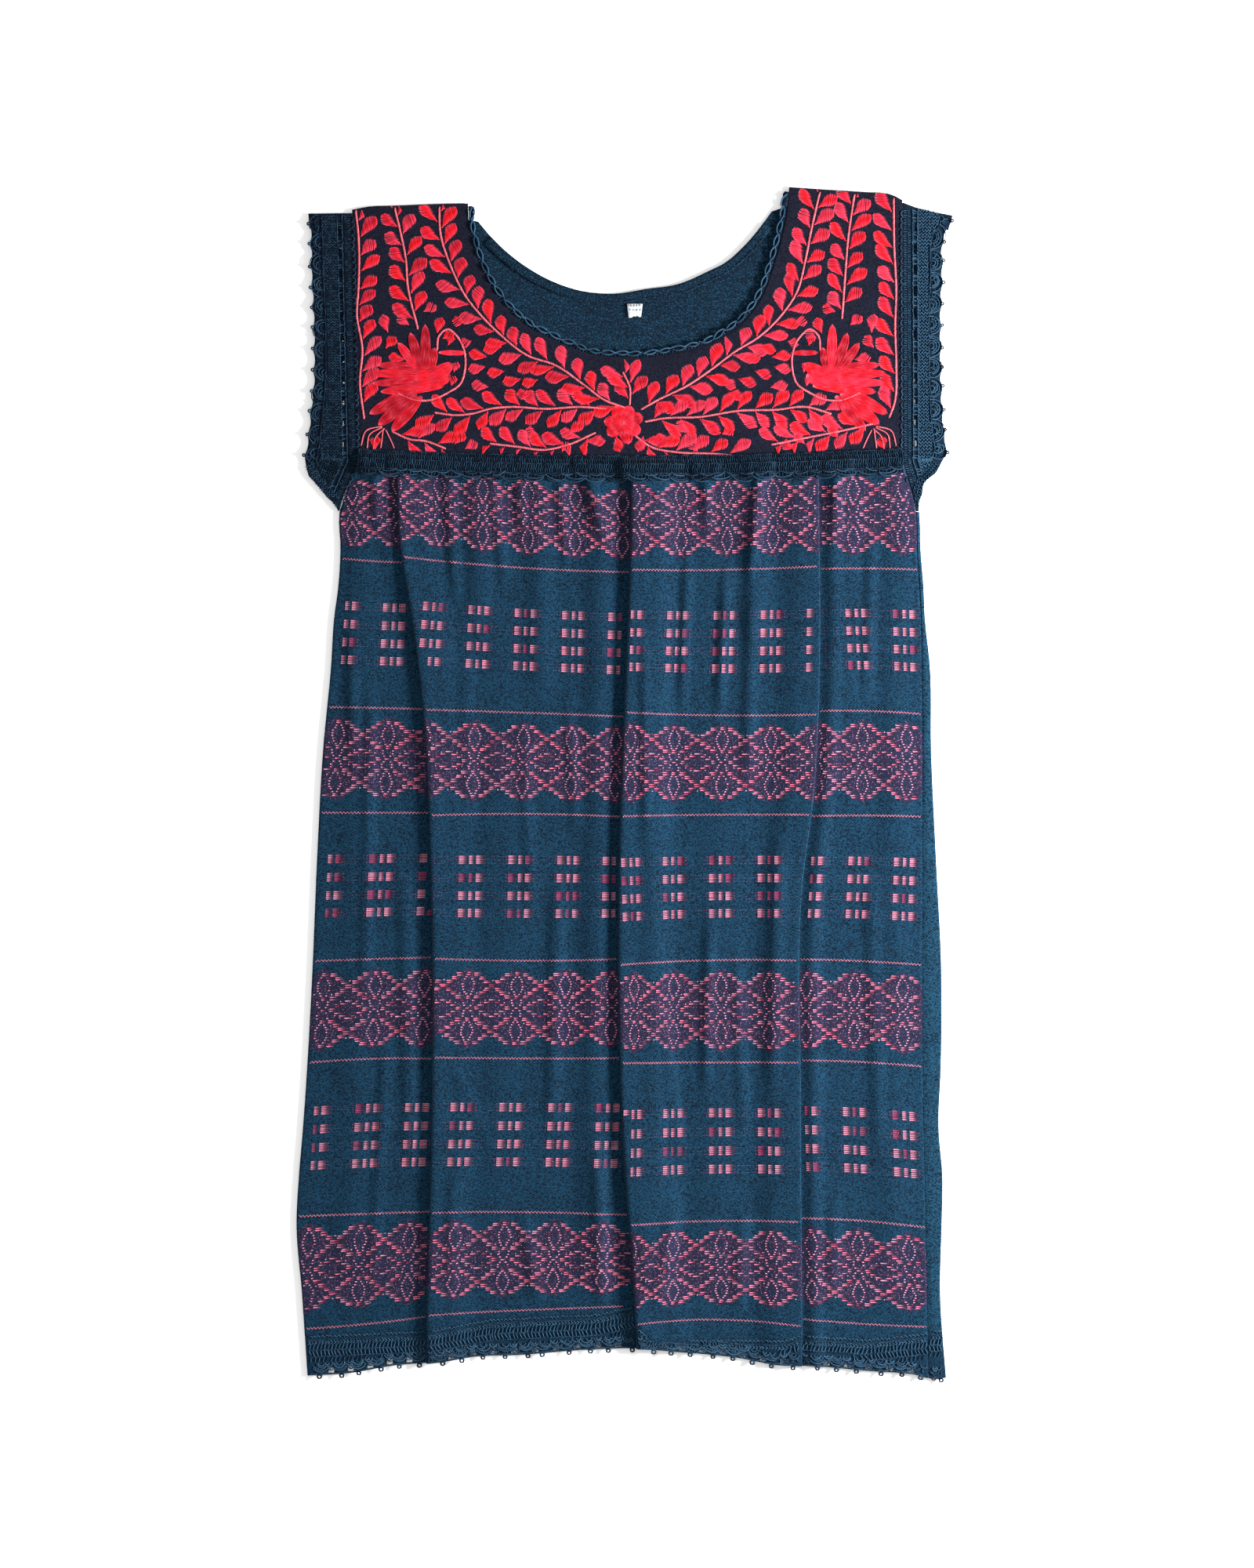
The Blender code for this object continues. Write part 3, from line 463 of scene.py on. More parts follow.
def ribbons(name, paths, widths, rises, lift, tints, material):
    """Flat-bottomed strands on a surface, such as weft floats and satin stitches.

    paths is (strand, point, xy), widths and rises are one value for each point, tints one
    colour for each point, and lift(x, y) is the surface.
    """
    count, length = paths.shape[:2]
    across = turned_left(unit(np.gradient(paths, axis=1))) * widths[..., None] / 2
    flat = np.stack([paths + across, paths, paths - across], axis=2)
    z = lift(flat[..., 0], flat[..., 1]) - RIBBON_SINK
    z[:, :, 1] += rises + RIBBON_SINK
    points = np.concatenate([flat, z[..., None]], axis=-1).reshape(-1, 3)
    ring = np.arange(3)
    after = np.roll(ring, -1)
    step = np.arange(length - 1)[:, None] * 3
    quads = joined(step + ring, step + 3 + ring, step + 3 + after, step + after).reshape(-1, 4)
    last = (length - 1) * 3
    caps = np.array([[2, 1, 0], [last, last + 1, last + 2]])
    base = (np.arange(count) * length * 3)[:, None, None]
    colours = np.repeat(tints[:, :, None, :], 3, axis=2).reshape(-1, 3)
    faces = [(base + quads).reshape(-1, 4)[:, ::-1], (base + caps).reshape(-1, 3)[:, ::-1]]
    return make_mesh(name, points, faces, material, tints=colours)


LIGHT_LEVEL = 2.02


def colour(red, green, blue):
    """Linear colour from screen values, 0 to 255."""
    values = np.array([red, green, blue]) / 255.0
    return np.where(values <= 0.04045, values / 12.92, ((values + 0.055) / 1.055) ** 2.4) / LIGHT_LEVEL


def add(tree, kind, values=None, **settings):
    """Shader node with its settings, and values or links for its inputs."""
    node = tree.nodes.new(kind)
    for key, value in settings.items():
        setattr(node, key, value)
    for key, value in (values or {}).items():
        if isinstance(value, bpy.types.NodeSocket):
            tree.links.new(value, node.inputs[key])
        else:
            node.inputs[key].default_value = value
    return node


SPECULAR = 0.06


def surface(name, roughness, sheen=0.0):
    """Material with a principled shader, its node tree and its shader."""
    material = bpy.data.materials.new(name)
    material.use_nodes = True
    shader = material.node_tree.nodes["Principled BSDF"]
    shader.inputs["Roughness"].default_value = roughness
    shader.inputs["Sheen Weight"].default_value = sheen
    shader.inputs["Specular IOR Level"].default_value = SPECULAR
    return material, material.node_tree, shader


def mix(tree, share, first, second):
    """Colour between two colours or sockets."""
    node = add(tree, "ShaderNodeMix", data_type="RGBA")
    for socket, value in ((node.inputs[0], share), (node.inputs[6], first), (node.inputs[7], second)):
        if isinstance(value, bpy.types.NodeSocket):
            tree.links.new(value, socket)
        elif isinstance(value, (int, float)):
            socket.default_value = value
        else:
            socket.default_value = (*value, 1.0)
    return node.outputs[2]


def arithmetic(tree, operation, first, second=0.0, third=0.0):
    """Result of one math node."""
    return add(tree, "ShaderNodeMath", {0: first, 1: second, 2: third}, operation=operation).outputs[0]


def noise(tree, place, scale, detail=2.0, roughness=0.5):
    """Cloudy noise, 0 to 1."""
    values = {"Vector": place, "Scale": scale, "Detail": detail, "Roughness": roughness}
    return add(tree, "ShaderNodeTexNoise", values).outputs[0]


def bump(tree, shader, height, strength, distance):
    """Surface relief from a height socket, in millimetres."""
    node = add(tree, "ShaderNodeBump", {"Height": height, "Strength": strength, "Distance": distance * MM})
    tree.links.new(node.outputs["Normal"], shader.inputs["Normal"])


TWILL_PITCH = 1.2
TWILL_TURN = math.radians(42)
TWILL_WAVE = {"Scale": 1 / (TWILL_PITCH * MM) / 2 / math.pi * 1.571, "Distortion": 2.2, "Detail": 2.0,
              "Detail Scale": 2.5, "Detail Roughness": 0.6}
SLUB_STRETCH = (1.0, 2.2, 1.0)
SLUB_SCALE = 420.0


def twill(tree):
    """Fine slanting lines of twill, 0 to 1, from the place on the dress."""
    place = add(tree, "ShaderNodeTexCoord").outputs["Object"]
    turned = add(tree, "ShaderNodeMapping", {"Vector": place, "Rotation": (0.0, 0.0, TWILL_TURN)})
    lines = add(tree, "ShaderNodeTexWave", {"Vector": turned.outputs[0], **TWILL_WAVE},
                wave_type="BANDS", bands_direction="Y")
    drawn = add(tree, "ShaderNodeMapping", {"Vector": place, "Scale": SLUB_STRETCH})
    return place, lines.outputs["Fac"], noise(tree, drawn.outputs[0], SLUB_SCALE, 3.0, 0.75)


# Painted shade: the plain twill is made darker above a height, where the back shows through the neck opening
# and lies in shade inside the dress.
NECK_PAINTED_SHADE = 0.5
NECK_SHADE_FROM = 0.28
NECK_SHADE_TO = 0.33
# How far each texture moves the twill from its dark thread to its light one, and its middle level.
PATCH_SCALE, PATCH_GAIN, PATCH_BASE = 45.0, 0.5, -0.4
FIBRE_SCALE, FIBRE_GAIN, FIBRE_BASE = 760.0, 3.7, -1.45
SLUB_GAIN, SLUB_BASE = 3.2, -1.6
LINE_GAIN = 0.62
FIBRE_RELIEF = 0.9
TWILL_BUMP = (0.5, 0.32)


def cloth_material(name, light, dark, brocaded, inside=0.0):
    """Navy twill: light and dark slanting threads, faded specks, and where asked the star bands' ground and
    painted shade that darkens the cloth towards the top.
    """
    material, tree, shader = surface(name, 0.9, 0.04)
    place, lines, slubs = twill(tree)
    patches = noise(tree, place, PATCH_SCALE, 3.0)
    fibres = noise(tree, place, FIBRE_SCALE, 3.0)
    share = arithmetic(tree, "MULTIPLY_ADD", fibres, FIBRE_GAIN, FIBRE_BASE)
    share = arithmetic(tree, "MULTIPLY_ADD", lines, LINE_GAIN, share)
    share = arithmetic(tree, "MULTIPLY_ADD", slubs, SLUB_GAIN, arithmetic(tree, "ADD", share, SLUB_BASE))
    share = arithmetic(tree, "MULTIPLY_ADD", patches, PATCH_GAIN, arithmetic(tree, "ADD", share, PATCH_BASE))
    # Painted shade: darker towards the top, where the back shows through the neck opening.
    if inside:
        height = add(tree, "ShaderNodeSeparateXYZ", {"Vector": place}).outputs["Y"]
        neck = add(tree, "ShaderNodeMapRange", {"Value": height, "From Min": NECK_SHADE_FROM,
                                                "From Max": NECK_SHADE_TO, "To Max": inside})
        share = arithmetic(tree, "SUBTRACT", share, neck.outputs[0])
    base = mix(tree, share, dark, light)
    if brocaded:
        base = star_ground(tree, place, base)
    tree.links.new(base, shader.inputs["Base Color"])
    bump(tree, shader, arithmetic(tree, "MULTIPLY_ADD", fibres, FIBRE_RELIEF, lines), *TWILL_BUMP)
    return material


STAR_PITCH_ROWS = 110.0
GROUND_WAIST = 14.8
GROUND_WAVE = 3.4
SPECK_SCALE = 560.0
SPECK_SIZE = 0.24
SPECK_SHARE = 0.5
SPECK_TONE = (186, 128, 160)
TUFT_SCALE = 120.0
TUFT_TONES = ((16, 28, 54), (60, 34, 64))
MAUVE_SHARE = 0.66


def star_ground(tree, place, base):
    """Mauve ground of the star bands, with scalloped edges and pale specks."""
    chart = add(tree, "ShaderNodeAttribute", attribute_name="chart").outputs["Vector"]
    parts = add(tree, "ShaderNodeSeparateXYZ", {"Vector": chart})
    bands = arithmetic(tree, "DIVIDE", parts.outputs[1], STAR_PITCH_ROWS)
    away = arithmetic(tree, "ABSOLUTE", arithmetic(tree, "SUBTRACT", bands, arithmetic(tree, "ROUND", bands)))
    rows = arithmetic(tree, "MULTIPLY", away, STAR_PITCH_ROWS)
    wave = arithmetic(tree, "COSINE", arithmetic(tree, "MULTIPLY", parts.outputs[0], 2 * math.pi))
    edge = arithmetic(tree, "MULTIPLY_ADD", wave, GROUND_WAVE, GROUND_WAIST)
    inside = arithmetic(tree, "LESS_THAN", rows, edge)
    specks = add(tree, "ShaderNodeTexVoronoi", {"Vector": place, "Scale": SPECK_SCALE, "Randomness": 0.9})
    speck = arithmetic(tree, "LESS_THAN", specks.outputs["Distance"], SPECK_SIZE)
    mauve = mix(tree, noise(tree, place, TUFT_SCALE), *(colour(*tone) for tone in TUFT_TONES))
    mauve = mix(tree, arithmetic(tree, "MULTIPLY", speck, SPECK_SHARE), mauve, colour(*SPECK_TONE))
    return mix(tree, inside, base, mix(tree, MAUVE_SHARE, base, mauve))


THREAD_GAIN = (0.9, -0.22)
THREAD_SHADE = 0.35
TAPE_SCALE = 700.0
TAPE_GAIN = (2.4, -0.7)


def thread_material(name, roughness, sheen, scale, strength):
    """Thread in the colours of its own points, with fine fibres."""
    material, tree, shader = surface(name, roughness, sheen)
    place = add(tree, "ShaderNodeTexCoord").outputs["Object"]
    fibres = noise(tree, place, scale)
    tint = add(tree, "ShaderNodeAttribute", attribute_name="tint").outputs["Color"]
    share = arithmetic(tree, "MULTIPLY_ADD", fibres, *THREAD_GAIN)
    base = mix(tree, share, tint, (0.0, 0.0, 0.0))
    tree.links.new(mix(tree, THREAD_SHADE, tint, base), shader.inputs["Base Color"])
    bump(tree, shader, fibres, strength, 0.3)
    return material


def plain_material(name, light, dark):
    """Closely worked thread or tape in two tones."""
    material, tree, shader = surface(name, 0.85, 0.03)
    place = add(tree, "ShaderNodeTexCoord").outputs["Object"]
    fibres = noise(tree, place, TAPE_SCALE)
    share = add(tree, "ShaderNodeClamp", {"Value": arithmetic(tree, "MULTIPLY_ADD", fibres, *TAPE_GAIN)})
    tree.links.new(mix(tree, share.outputs[0], colour(*dark), colour(*light)), shader.inputs["Base Color"])
    bump(tree, shader, fibres, 0.5, 0.4)
    return material


# The star bands' chart: star columns across each stretch and weft rows down it.
StarRow = namedtuple("StarRow", "y first second third fourth fifth")
STARS = panel_rows(StarRow, {
    "left": [
        (198.4, -223.7, -186.6, -150.7, -111.0, -71.0), (19.8, -236.8, -195.3, -155.2, -115.5, -76.0),
        (-185.6, -248.3, -205.9, -166.1, -126.0, -86.0), (-396.8, -260.8, -218.6, -178.9, -139.0, -99.0),
    ],
    "middle": [
        (198.4, -152.6, -117.4, -80.6, -41.9, -3.5), (19.8, -165.4, -124.5, -84.5, -44.9, -9.3),
        (-185.6, -169.6, -129.9, -90.2, -50.6, -12.5), (-396.8, -182.1, -141.1, -101.4, -60.2, -20.2),
    ],
    "centre": [
        (198.4, 6.7, 44.5, 82.2, 119.4, 157.1), (19.8, 2.9, 38.4, 77.7, 117.5, 154.6),
        (-185.6, 6.1, 38.1, 76.8, 116.5, 155.2), (-396.8, 3.5, 37.4, 77.1, 118.1, 157.1),
    ],
    "right": [
        (198.4, 146.9, 184.6, 225.6, 266.0, 306.0), (19.8, 155.2, 192.4, 228.4, 268.0, 308.0),
        (-185.6, 146.2, 185.6, 225.0, 265.0, 305.0), (-396.8, 151.0, 189.1, 231.0, 270.0, 310.0),
    ],
})
STAR_FIELDS = StarRow._fields[1:]

WeftRow = namedtuple("WeftRow", "row left middle right")
WEFTS = panel_rows(WeftRow, {
    "left": [
        (0, 220.2, 222.4, 225.0), (23.5, 184.0, 181.8, 180.8), (88, 62.7, 62.1, 61.1),
        (110, 21.1, 20.5, 19.5), (133.5, -23.4, -23.4, -23.4), (198, -144.3, -142.7, -141.4),
        (220, -185.0, -183.4, -181.8), (242.5, -227.2, -224.0, -224.0), (309, -352.6, -350.4, -348.8),
        (330, -396.8, -393.0, -389.8), (354.5, -444.2, -440.3, -434.2),
    ],
    "middle": [
        (0, 225.9, 218.9, 211.2), (23.5, 185.0, 176.6, 172.8), (88, 60.5, 58.2, 55.0),
        (110, 19.5, 18.0, 16.0), (133.5, -25.6, -24.3, -26.6), (198, -142.1, -144.0, -142.7),
        (220, -182.7, -182.7, -182.7), (242.5, -222.7, -223.7, -223.4), (309, -349.1, -349.1, -351.4),
        (330, -388.8, -387.8, -389.8), (354.5, -432.6, -428.8, -425.6),
    ],
    "centre": [
        (0, 215.0, 217.4, 220.5), (23.5, 174.4, 174.7, 177.3), (88, 58.2, 56.0, 56.6),
        (110, 17.9, 17.6, 17.6), (133.5, -26.2, -25.0, -25.0), (198, -147.2, -143.7, -143.7),
        (220, -184.6, -184.3, -186.2), (242.5, -227.2, -226.9, -226.9), (309, -359.0, -356.2, -356.8),
        (330, -400.0, -394.2, -397.4), (354.5, -439.7, -436.8, -441.6),
    ],
    "right": [
        (0, 219.2, 220.2, 222.4), (23.5, 175.4, 175.7, 174.7), (88, 59.5, 59.5, 57.0),
        (110, 19.2, 19.2, 18.0), (133.5, -26.2, -25.6, -26.6), (198, -143.0, -144.3, -147.5),
        (220, -185.0, -185.0, -186.2), (242.5, -225.3, -226.6, -230.4), (309, -353.9, -356.2, -361.6),
        (330, -396.2, -397.4, -401.9), (354.5, -436.2, -440.3, -442.6),
    ],
})


def star_columns(panel, y):
    """Places across of a stretch's star columns at heights y."""
    return joined(*(at(STARS[panel], field, y) for field in STAR_FIELDS))


def weft_heights(panel, share):
    """Heights of a stretch's charted weft rows at a share of its width."""
    left, middle, right = (column(WEFTS[panel], field) for field in ("left", "middle", "right"))
    share = np.asarray(share)[..., None]
    return ((2 * share - 1) * (share - 1) * left + 4 * share * (1 - share) * middle
            + share * (2 * share - 1) * right)


CHART_ROWS = column(WEFTS["left"], "row")
PLACE_ROUNDS = 2
CHART_COLUMNS = np.arange(float(len(STAR_FIELDS)))


def extended(value, keys, values):
    """Straight interpolation that goes on past both ends, with keys or values for each item."""
    keys, values = np.broadcast_arrays(keys, values)
    k = np.clip((keys[..., 1:-1] <= value[..., None]).sum(axis=-1), 0, keys.shape[-1] - 2)[..., None]
    low, high = np.take_along_axis(keys, k, -1)[..., 0], np.take_along_axis(keys, k + 1, -1)[..., 0]
    start, end = np.take_along_axis(values, k, -1)[..., 0], np.take_along_axis(values, k + 1, -1)[..., 0]
    return start + (end - start) * (value - low) / (high - low)


def chart_place(panel, star, row):
    """Place on the dress of a star column and weft row of the chart."""
    star, row = np.broadcast_arrays(star, row)
    y = extended(row, CHART_ROWS, weft_heights(panel, 0.5 + 0.0 * row))
    for _ in range(PLACE_ROUNDS):
        x = extended(star, CHART_COLUMNS, star_columns(panel, y))
        left, right = panel_span(panel, y)
        y = extended(row, CHART_ROWS, weft_heights(panel, (x - left) / (right - left)))
    return x, y


def chart_of(panel, x, y):
    """Star column and weft row of the chart at a place on the dress."""
    left, right = panel_span(panel, y)
    heights = -weft_heights(panel, (x - left) / (right - left))
    return extended(x, star_columns(panel, y), CHART_COLUMNS), extended(-y, heights, CHART_ROWS)


SKIRT_STEP = 2.6
SKIRT_ROWS = [248.0, 240.0, 231.0]
SKIRT_LOW = -416.0
SKIRT_LEVELS = 81
HEM_SHARES = np.array([0.2, 0.4, 0.6, 0.8, 1.0])


def skirt_front():
    """Brocaded skirt front with its knife folds, from the yoke seam to the hem."""
    shares = {}
    for panel in PANELS:
        left, right = panel_span(panel, 0.0)
        shares[panel] = evenly(round((right - left) / SKIRT_STEP)).tolist()
    stations = front_stations(shares)
    inner = np.array(SKIRT_ROWS + np.linspace(WRAP_TOP, SKIRT_LOW, SKIRT_LEVELS).tolist())
    rows = []
    charts = []
    for station in stations:
        top = seam_y(front_point(station, TRIM_SIDE_Y)[0]) - SEAM_GAP / 2
        hem = station_hem(station)
        y = np.concatenate([[top], inner, SKIRT_LOW + (hem - SKIRT_LOW) * HEM_SHARES])
        x, z = front_point(station, y)
        if station.part in ("under", "edge"):
            x = np.where(y > WRAP_TOP, np.nan, x)
        rows.append(joined(x, y, z))
        place = station.place or "left"
        star, weft = chart_of(place, np.nan_to_num(x), y)
        charts.append(joined(star, weft, 0.0))
    rows = np.stack(rows, axis=1)
    return cloth("skirt_cloth", "skirt_front", rows, WALL, BROCADED, charts=np.stack(charts, axis=1))


def wrap_point(part, t, y):
    """Points (x, z) of the back where it comes round the right edge to the side seam."""
    seam = at(SIDES, "seam", y) + SEAM_GAP
    centre = at(SIDES, "right", y) - EDGE_TURN - WALL / 2
    if part == "turn":
        reach, rise = half_turn(EDGE_TURN, t)
        return centre + reach, FLOOR_LAYER + rise
    return centre + (seam - centre) * t, FRONT_LAYER


def back_left(y):
    """Left edge of the back: the armhole, and below it the edge of the cloth folded under."""
    return np.where(y > WRAP_TOP, side_x("left", y), left_return(y)[0] + SEAM_GAP)


def back_right(y):
    """Right edge of the back on the floor: the armhole, and below it the start of the turn."""
    return np.where(y > WRAP_TOP, side_x("right", y), wrap_point("turn", 0.0, y)[0])


def back_across(y, share):
    """Places at shares of the back's width on the floor, at heights y."""
    return back_left(y) + (back_right(y) - back_left(y)) * share


BUST_ROW = 300.0
BACK_STRAP_STEPS = 10
BACK_NECK_STEPS = 40
BACK_TOP_LEVELS = 8
BACK_LEVELS = 56
BACK_ROWS = [BUST_ROW, 280.0, SIDE_TOP, 244.0, WRAP_TOP + SEAM_GAP]


def back_panel():
    """Plain back in one piece, shoulders to hem, round the right edge to the side seam."""
    drop = np.array([0.0, SHOULDER_RETURN + SEAM_GAP])
    strap = evenly(BACK_STRAP_STEPS)
    left, right = path_at(LEFT_SHOULDER, strap[:-1]) - drop, path_at(RIGHT_SHOULDER, strap[1:]) - drop
    tops = np.concatenate([left, path_at(BACK_NECK, evenly(BACK_NECK_STEPS)), right])
    share = evenly(len(tops) - 1)
    rows = []
    for level in np.linspace(0.0, 1.0, BACK_TOP_LEVELS, endpoint=False):
        y = tops[:, 1] + (BUST_ROW - tops[:, 1]) * level
        low = back_across(BUST_ROW, share)
        x = tops[:, 0] + (low - tops[:, 0]) * level
        x[0], x[-1] = back_left(y[0]), back_right(y[-1])
        rows.append(joined(x, y, FLOOR_LAYER))
    for y in BACK_ROWS + np.linspace(WRAP_TOP, BACK_HEM_Y, BACK_LEVELS).tolist():
        rows.append(joined(back_across(y, share), y, FLOOR_LAYER))
    for k, row in enumerate(rows):
        y = float(row[-1, 1])
        ends = [wrap_point(part, t, y) for part, t in WRAP]
        turn = np.array([[x, y, z] for x, z in ends])
        if y > WRAP_TOP:
            turn[:] = np.nan
        rows[k] = np.concatenate([row, turn])
    return cloth("back_cloth", "back_panel", np.stack(rows), WALL, PLAIN)


YOKE_STRAP_STEPS = 14
YOKE_NECK_STEPS = 64
YOKE_LEVELS = 30


def neck_line(distance, steps):
    """Front neckline moved sideways, as the corners that yoke and edging share."""
    return beside(FRONT_NECK, evenly(steps), distance)


def shoulder_drops(reach):
    """Drops from the shoulder and heights of the rows that carry cloth over it from the back."""
    turns = [half_turn(EDGE_TURN, k / TURN_STEPS) for k in range(1, TURN_STEPS)]
    return [(SHOULDER_RETURN, FLOOR_LAYER), (reach, FLOOR_LAYER),
            *((reach - out, FLOOR_LAYER + rise) for out, rise in turns)]


def yoke_front():
    """Embroidered yoke: two straps and the bib, carried over the shoulders to the back."""
    neck = neck_line(-EDGING_WIDTH / 2 - SEAM_GAP, YOKE_NECK_STEPS)
    strap = evenly(YOKE_STRAP_STEPS)
    left = path_at(LEFT_SHOULDER, strap) - joined(STRAP_EASE * strap, 0.0)
    right = path_at(RIGHT_SHOULDER, strap) + joined(STRAP_EASE * (1 - strap), 0.0)
    tops = np.concatenate([left, neck[1:-1], right])
    folded = np.ones(len(tops), dtype=bool)
    folded[len(left):-len(right)] = False
    reach = EDGE_TURN + WALL / 2
    rows = []
    for drop, height in shoulder_drops(reach):
        x, y = tops[:, 0].copy(), tops[:, 1] - drop
        x[0], x[-1] = side_x("left", y[0]), side_x("right", y[-1])
        x[~folded] = np.nan
        rows.append(joined(x, y, height))
    share = evenly(len(tops) - 1)
    low_left, low_right = side_x("left", TRIM_SIDE_Y), side_x("right", TRIM_SIDE_Y)
    x_low = low_left + (low_right - low_left) * share
    y_low = seam_y(x_low) + SEAM_GAP / 2
    y_top = tops[:, 1] - np.where(folded, reach, 0.0)
    for level in evenly(YOKE_LEVELS - 1):
        x = tops[:, 0] + (x_low - tops[:, 0]) * level
        y = y_top + (y_low - y_top) * level
        x[0], x[-1] = side_x("left", y[0]), side_x("right", y[-1])
        rows.append(joined(x, y, FRONT_LAYER))
    return cloth("yoke_cloth", "yoke_front", np.stack(rows), WALL, YOKE_CLOTH)


# Weft floats of the star bands: a quarter of one star, in cells out from its centre, with the
# rows out from the band's middle. Each mark is a cell, its width in cells and its kind, and a
# stair step is two threads high.
CELLS = 20.0
Mark = namedtuple("Mark", "row cell width kind")
STEPS = rows_of(Mark, [
    (0.0, 3.7, 2.2, "bar"), (5.1, 3.7, 2.8, "bar"), (6.85, 5.7, 2.8, "bar"), (8.6, 7.7, 2.8, "bar"),
    (10.35, 10, 3.5, "red"), (12.1, 7.7, 2.8, "bar"), (13.8, 5.7, 2.8, "bar"), (15.5, 3.7, 2.9, "bar"),
    (5.0, 0, 1.8, "bar"), (15.8, 0, 2.0, "bar"),
])
STEP_HALF = 0.43
DOTS = [(1.2, 1.35), (2.4, 1.95), (3.6, 2.0), (6.4, 1.0), (7.5, 1.45), (8.6, 2.0), (9.8, 2.3),
        (11.0, 2.35), (12.1, 2.0), (13.2, 1.5), (14.3, 0.95)]
FAINT_DOTS = [(1.2, 8.6), (5.4, 8.2), (10.3, 5.6), (11.4, 4.2), (9.0, 4.6)]
STAR = rows_of(Mark, [
    (0, 0, 1.9, "bar"), (1.5, 5.7, 2.7, "bar"), (2.65, 7.7, 2.7, "bar"), (3.8, 10, 3.3, "pale"),
    *((*dot, 0.9, "dot") for dot in DOTS), (12.7, 10, 0.7, "dot"), (3.6, 7.0, 0.6, "dot"),
    (2.5, 5.0, 0.6, "dot"), (6.9, 3.4, 0.6, "dot"), *((*dot, 0.5, "faint") for dot in FAINT_DOTS),
])
STAR += [Mark(abs(step.row + part), step.cell, step.width, step.kind)
         for step in STEPS for part in ((STEP_HALF,) if step.row == 0 else (-STEP_HALF, STEP_HALF))]
BAND_ROWS = [0, 110, 220, 330]
LINE_ROWS = [23.5, 88, 133.5, 198, 242.5, 309, 354.5]
FLOAT_WIDTH = 1.42
FLOAT_RISE = 0.5
LINE_STEP = 1.4
LINE_LEAN = 0.46
BLOCK_ROWS = [43.7, 51.7, 59.6, 67.3]
BLOCK_BANDS = [0, 110, 220]
BLOCK_CELLS = [(-3.55, 3.1), (-0.1, 1.95), (3.2, 2.9)]
BLOCK_THREADS = 5
BLOCK_THREAD = 1.62
BLOCK_TICKS = [-5.75, 5.45]
BLOCK_PITCH = 0.78
# Small marks beside the blocks: their rows, and their width in cells with the width of their thread.
TICK_WEFTS = (-1.4, 0.0, 1.4)
TICK_SIZE = (0.9, 1.1)
SPECK_CELLS = np.arange(7.2, 13.0, 1.15)
SPECK_WEFTS = (-1.4, 0.1, 1.5)
SPECK_SIZES = (0.8, 0.6)
SPECKS_KEPT = 0.6
# Shares of the blocks and of the other marks that are in the deep colour, scattered at random: partly the
# threads' own uneven tone, partly painted shade for floats that lie in the shadow of folds.
DEEP_SHARE = 0.16
DEEP_MARK_SHARE = 0.1
STAR_WIDTH = 38.0
LINE_THREAD = 1.0
LINE_CELLS = 40.0
LINE_STARS = (-1.5, 5.5)
# Unevenness of the marks across and down, in their widths and in their tones.
STAR_DRIFT = 0.006
ROW_DRIFT = 0.06
WIDTH_DRIFT = (-0.16, 0.08)
FLOAT_TONES = (0.72, 1.22)
# How far the floats keep from the sides of a stretch, from the seam and from the hem.
FLOAT_SIDE = 0.2
FLOAT_TOP = 1.0
FLOAT_HEM = 2.0
# A float from end to end: its tone, its width and its rise.
FLOAT_SHADES = np.array([0.9, 1.1, 0.9])
FLOAT_WIDTHS = np.array([0.94, 1.0, 0.94])
FLOAT_RISES = np.array([0.5, 1.0, 0.5])
KIND_COLOURS = {"bar": (216, 114, 142), "dot": (228, 146, 176), "line": (206, 122, 146),
                "block": (198, 118, 143), "deep": (142, 52, 88), "faint": (150, 84, 122),
                "red": (204, 90, 118), "pale": (214, 138, 164), "tick": (112, 46, 84), "speck": (92, 96, 132)}


def floats_of(panel, random):
    """Marks of a stretch: star column, weft row, width in cells, thread width and kind."""
    left, right = panel_span(panel, 0.0)
    stars = range(-2, math.ceil((right - left) / STAR_WIDTH) + 2)
    marks = []
    for band, star, mark in itertools.product(BAND_ROWS, stars, STAR):
        cells = [mark.cell] if mark.cell in (0, 10) else [mark.cell, -mark.cell]
        rows = [0] if mark.row == 0 else [mark.row, -mark.row]
        for cell, row in itertools.product(cells, rows):
            marks.append((star + cell / CELLS, band + row, mark.width, FLOAT_WIDTH, mark.kind))
    for band, star, row in itertools.product(BLOCK_BANDS, stars, BLOCK_ROWS):
        for cell, width in BLOCK_CELLS:
            # Partly painted shade: some blocks take the deep colour at random.
            kind = "deep" if random.uniform() < DEEP_SHARE else "block"
            for thread in range(BLOCK_THREADS):
                weft = band + row + (thread - BLOCK_THREADS / 2 + 0.5) * BLOCK_PITCH
                marks.append((star + cell / CELLS, weft, width, BLOCK_THREAD, kind))
        for cell, weft in itertools.product(BLOCK_TICKS, TICK_WEFTS):
            marks.append((star + cell / CELLS, band + row + weft, *TICK_SIZE, "tick"))
        for cell, weft in itertools.product(SPECK_CELLS, SPECK_WEFTS):
            if random.uniform() < SPECKS_KEPT:
                marks.append((star + cell / CELLS, band + row + weft, *SPECK_SIZES, "speck"))
    return marks


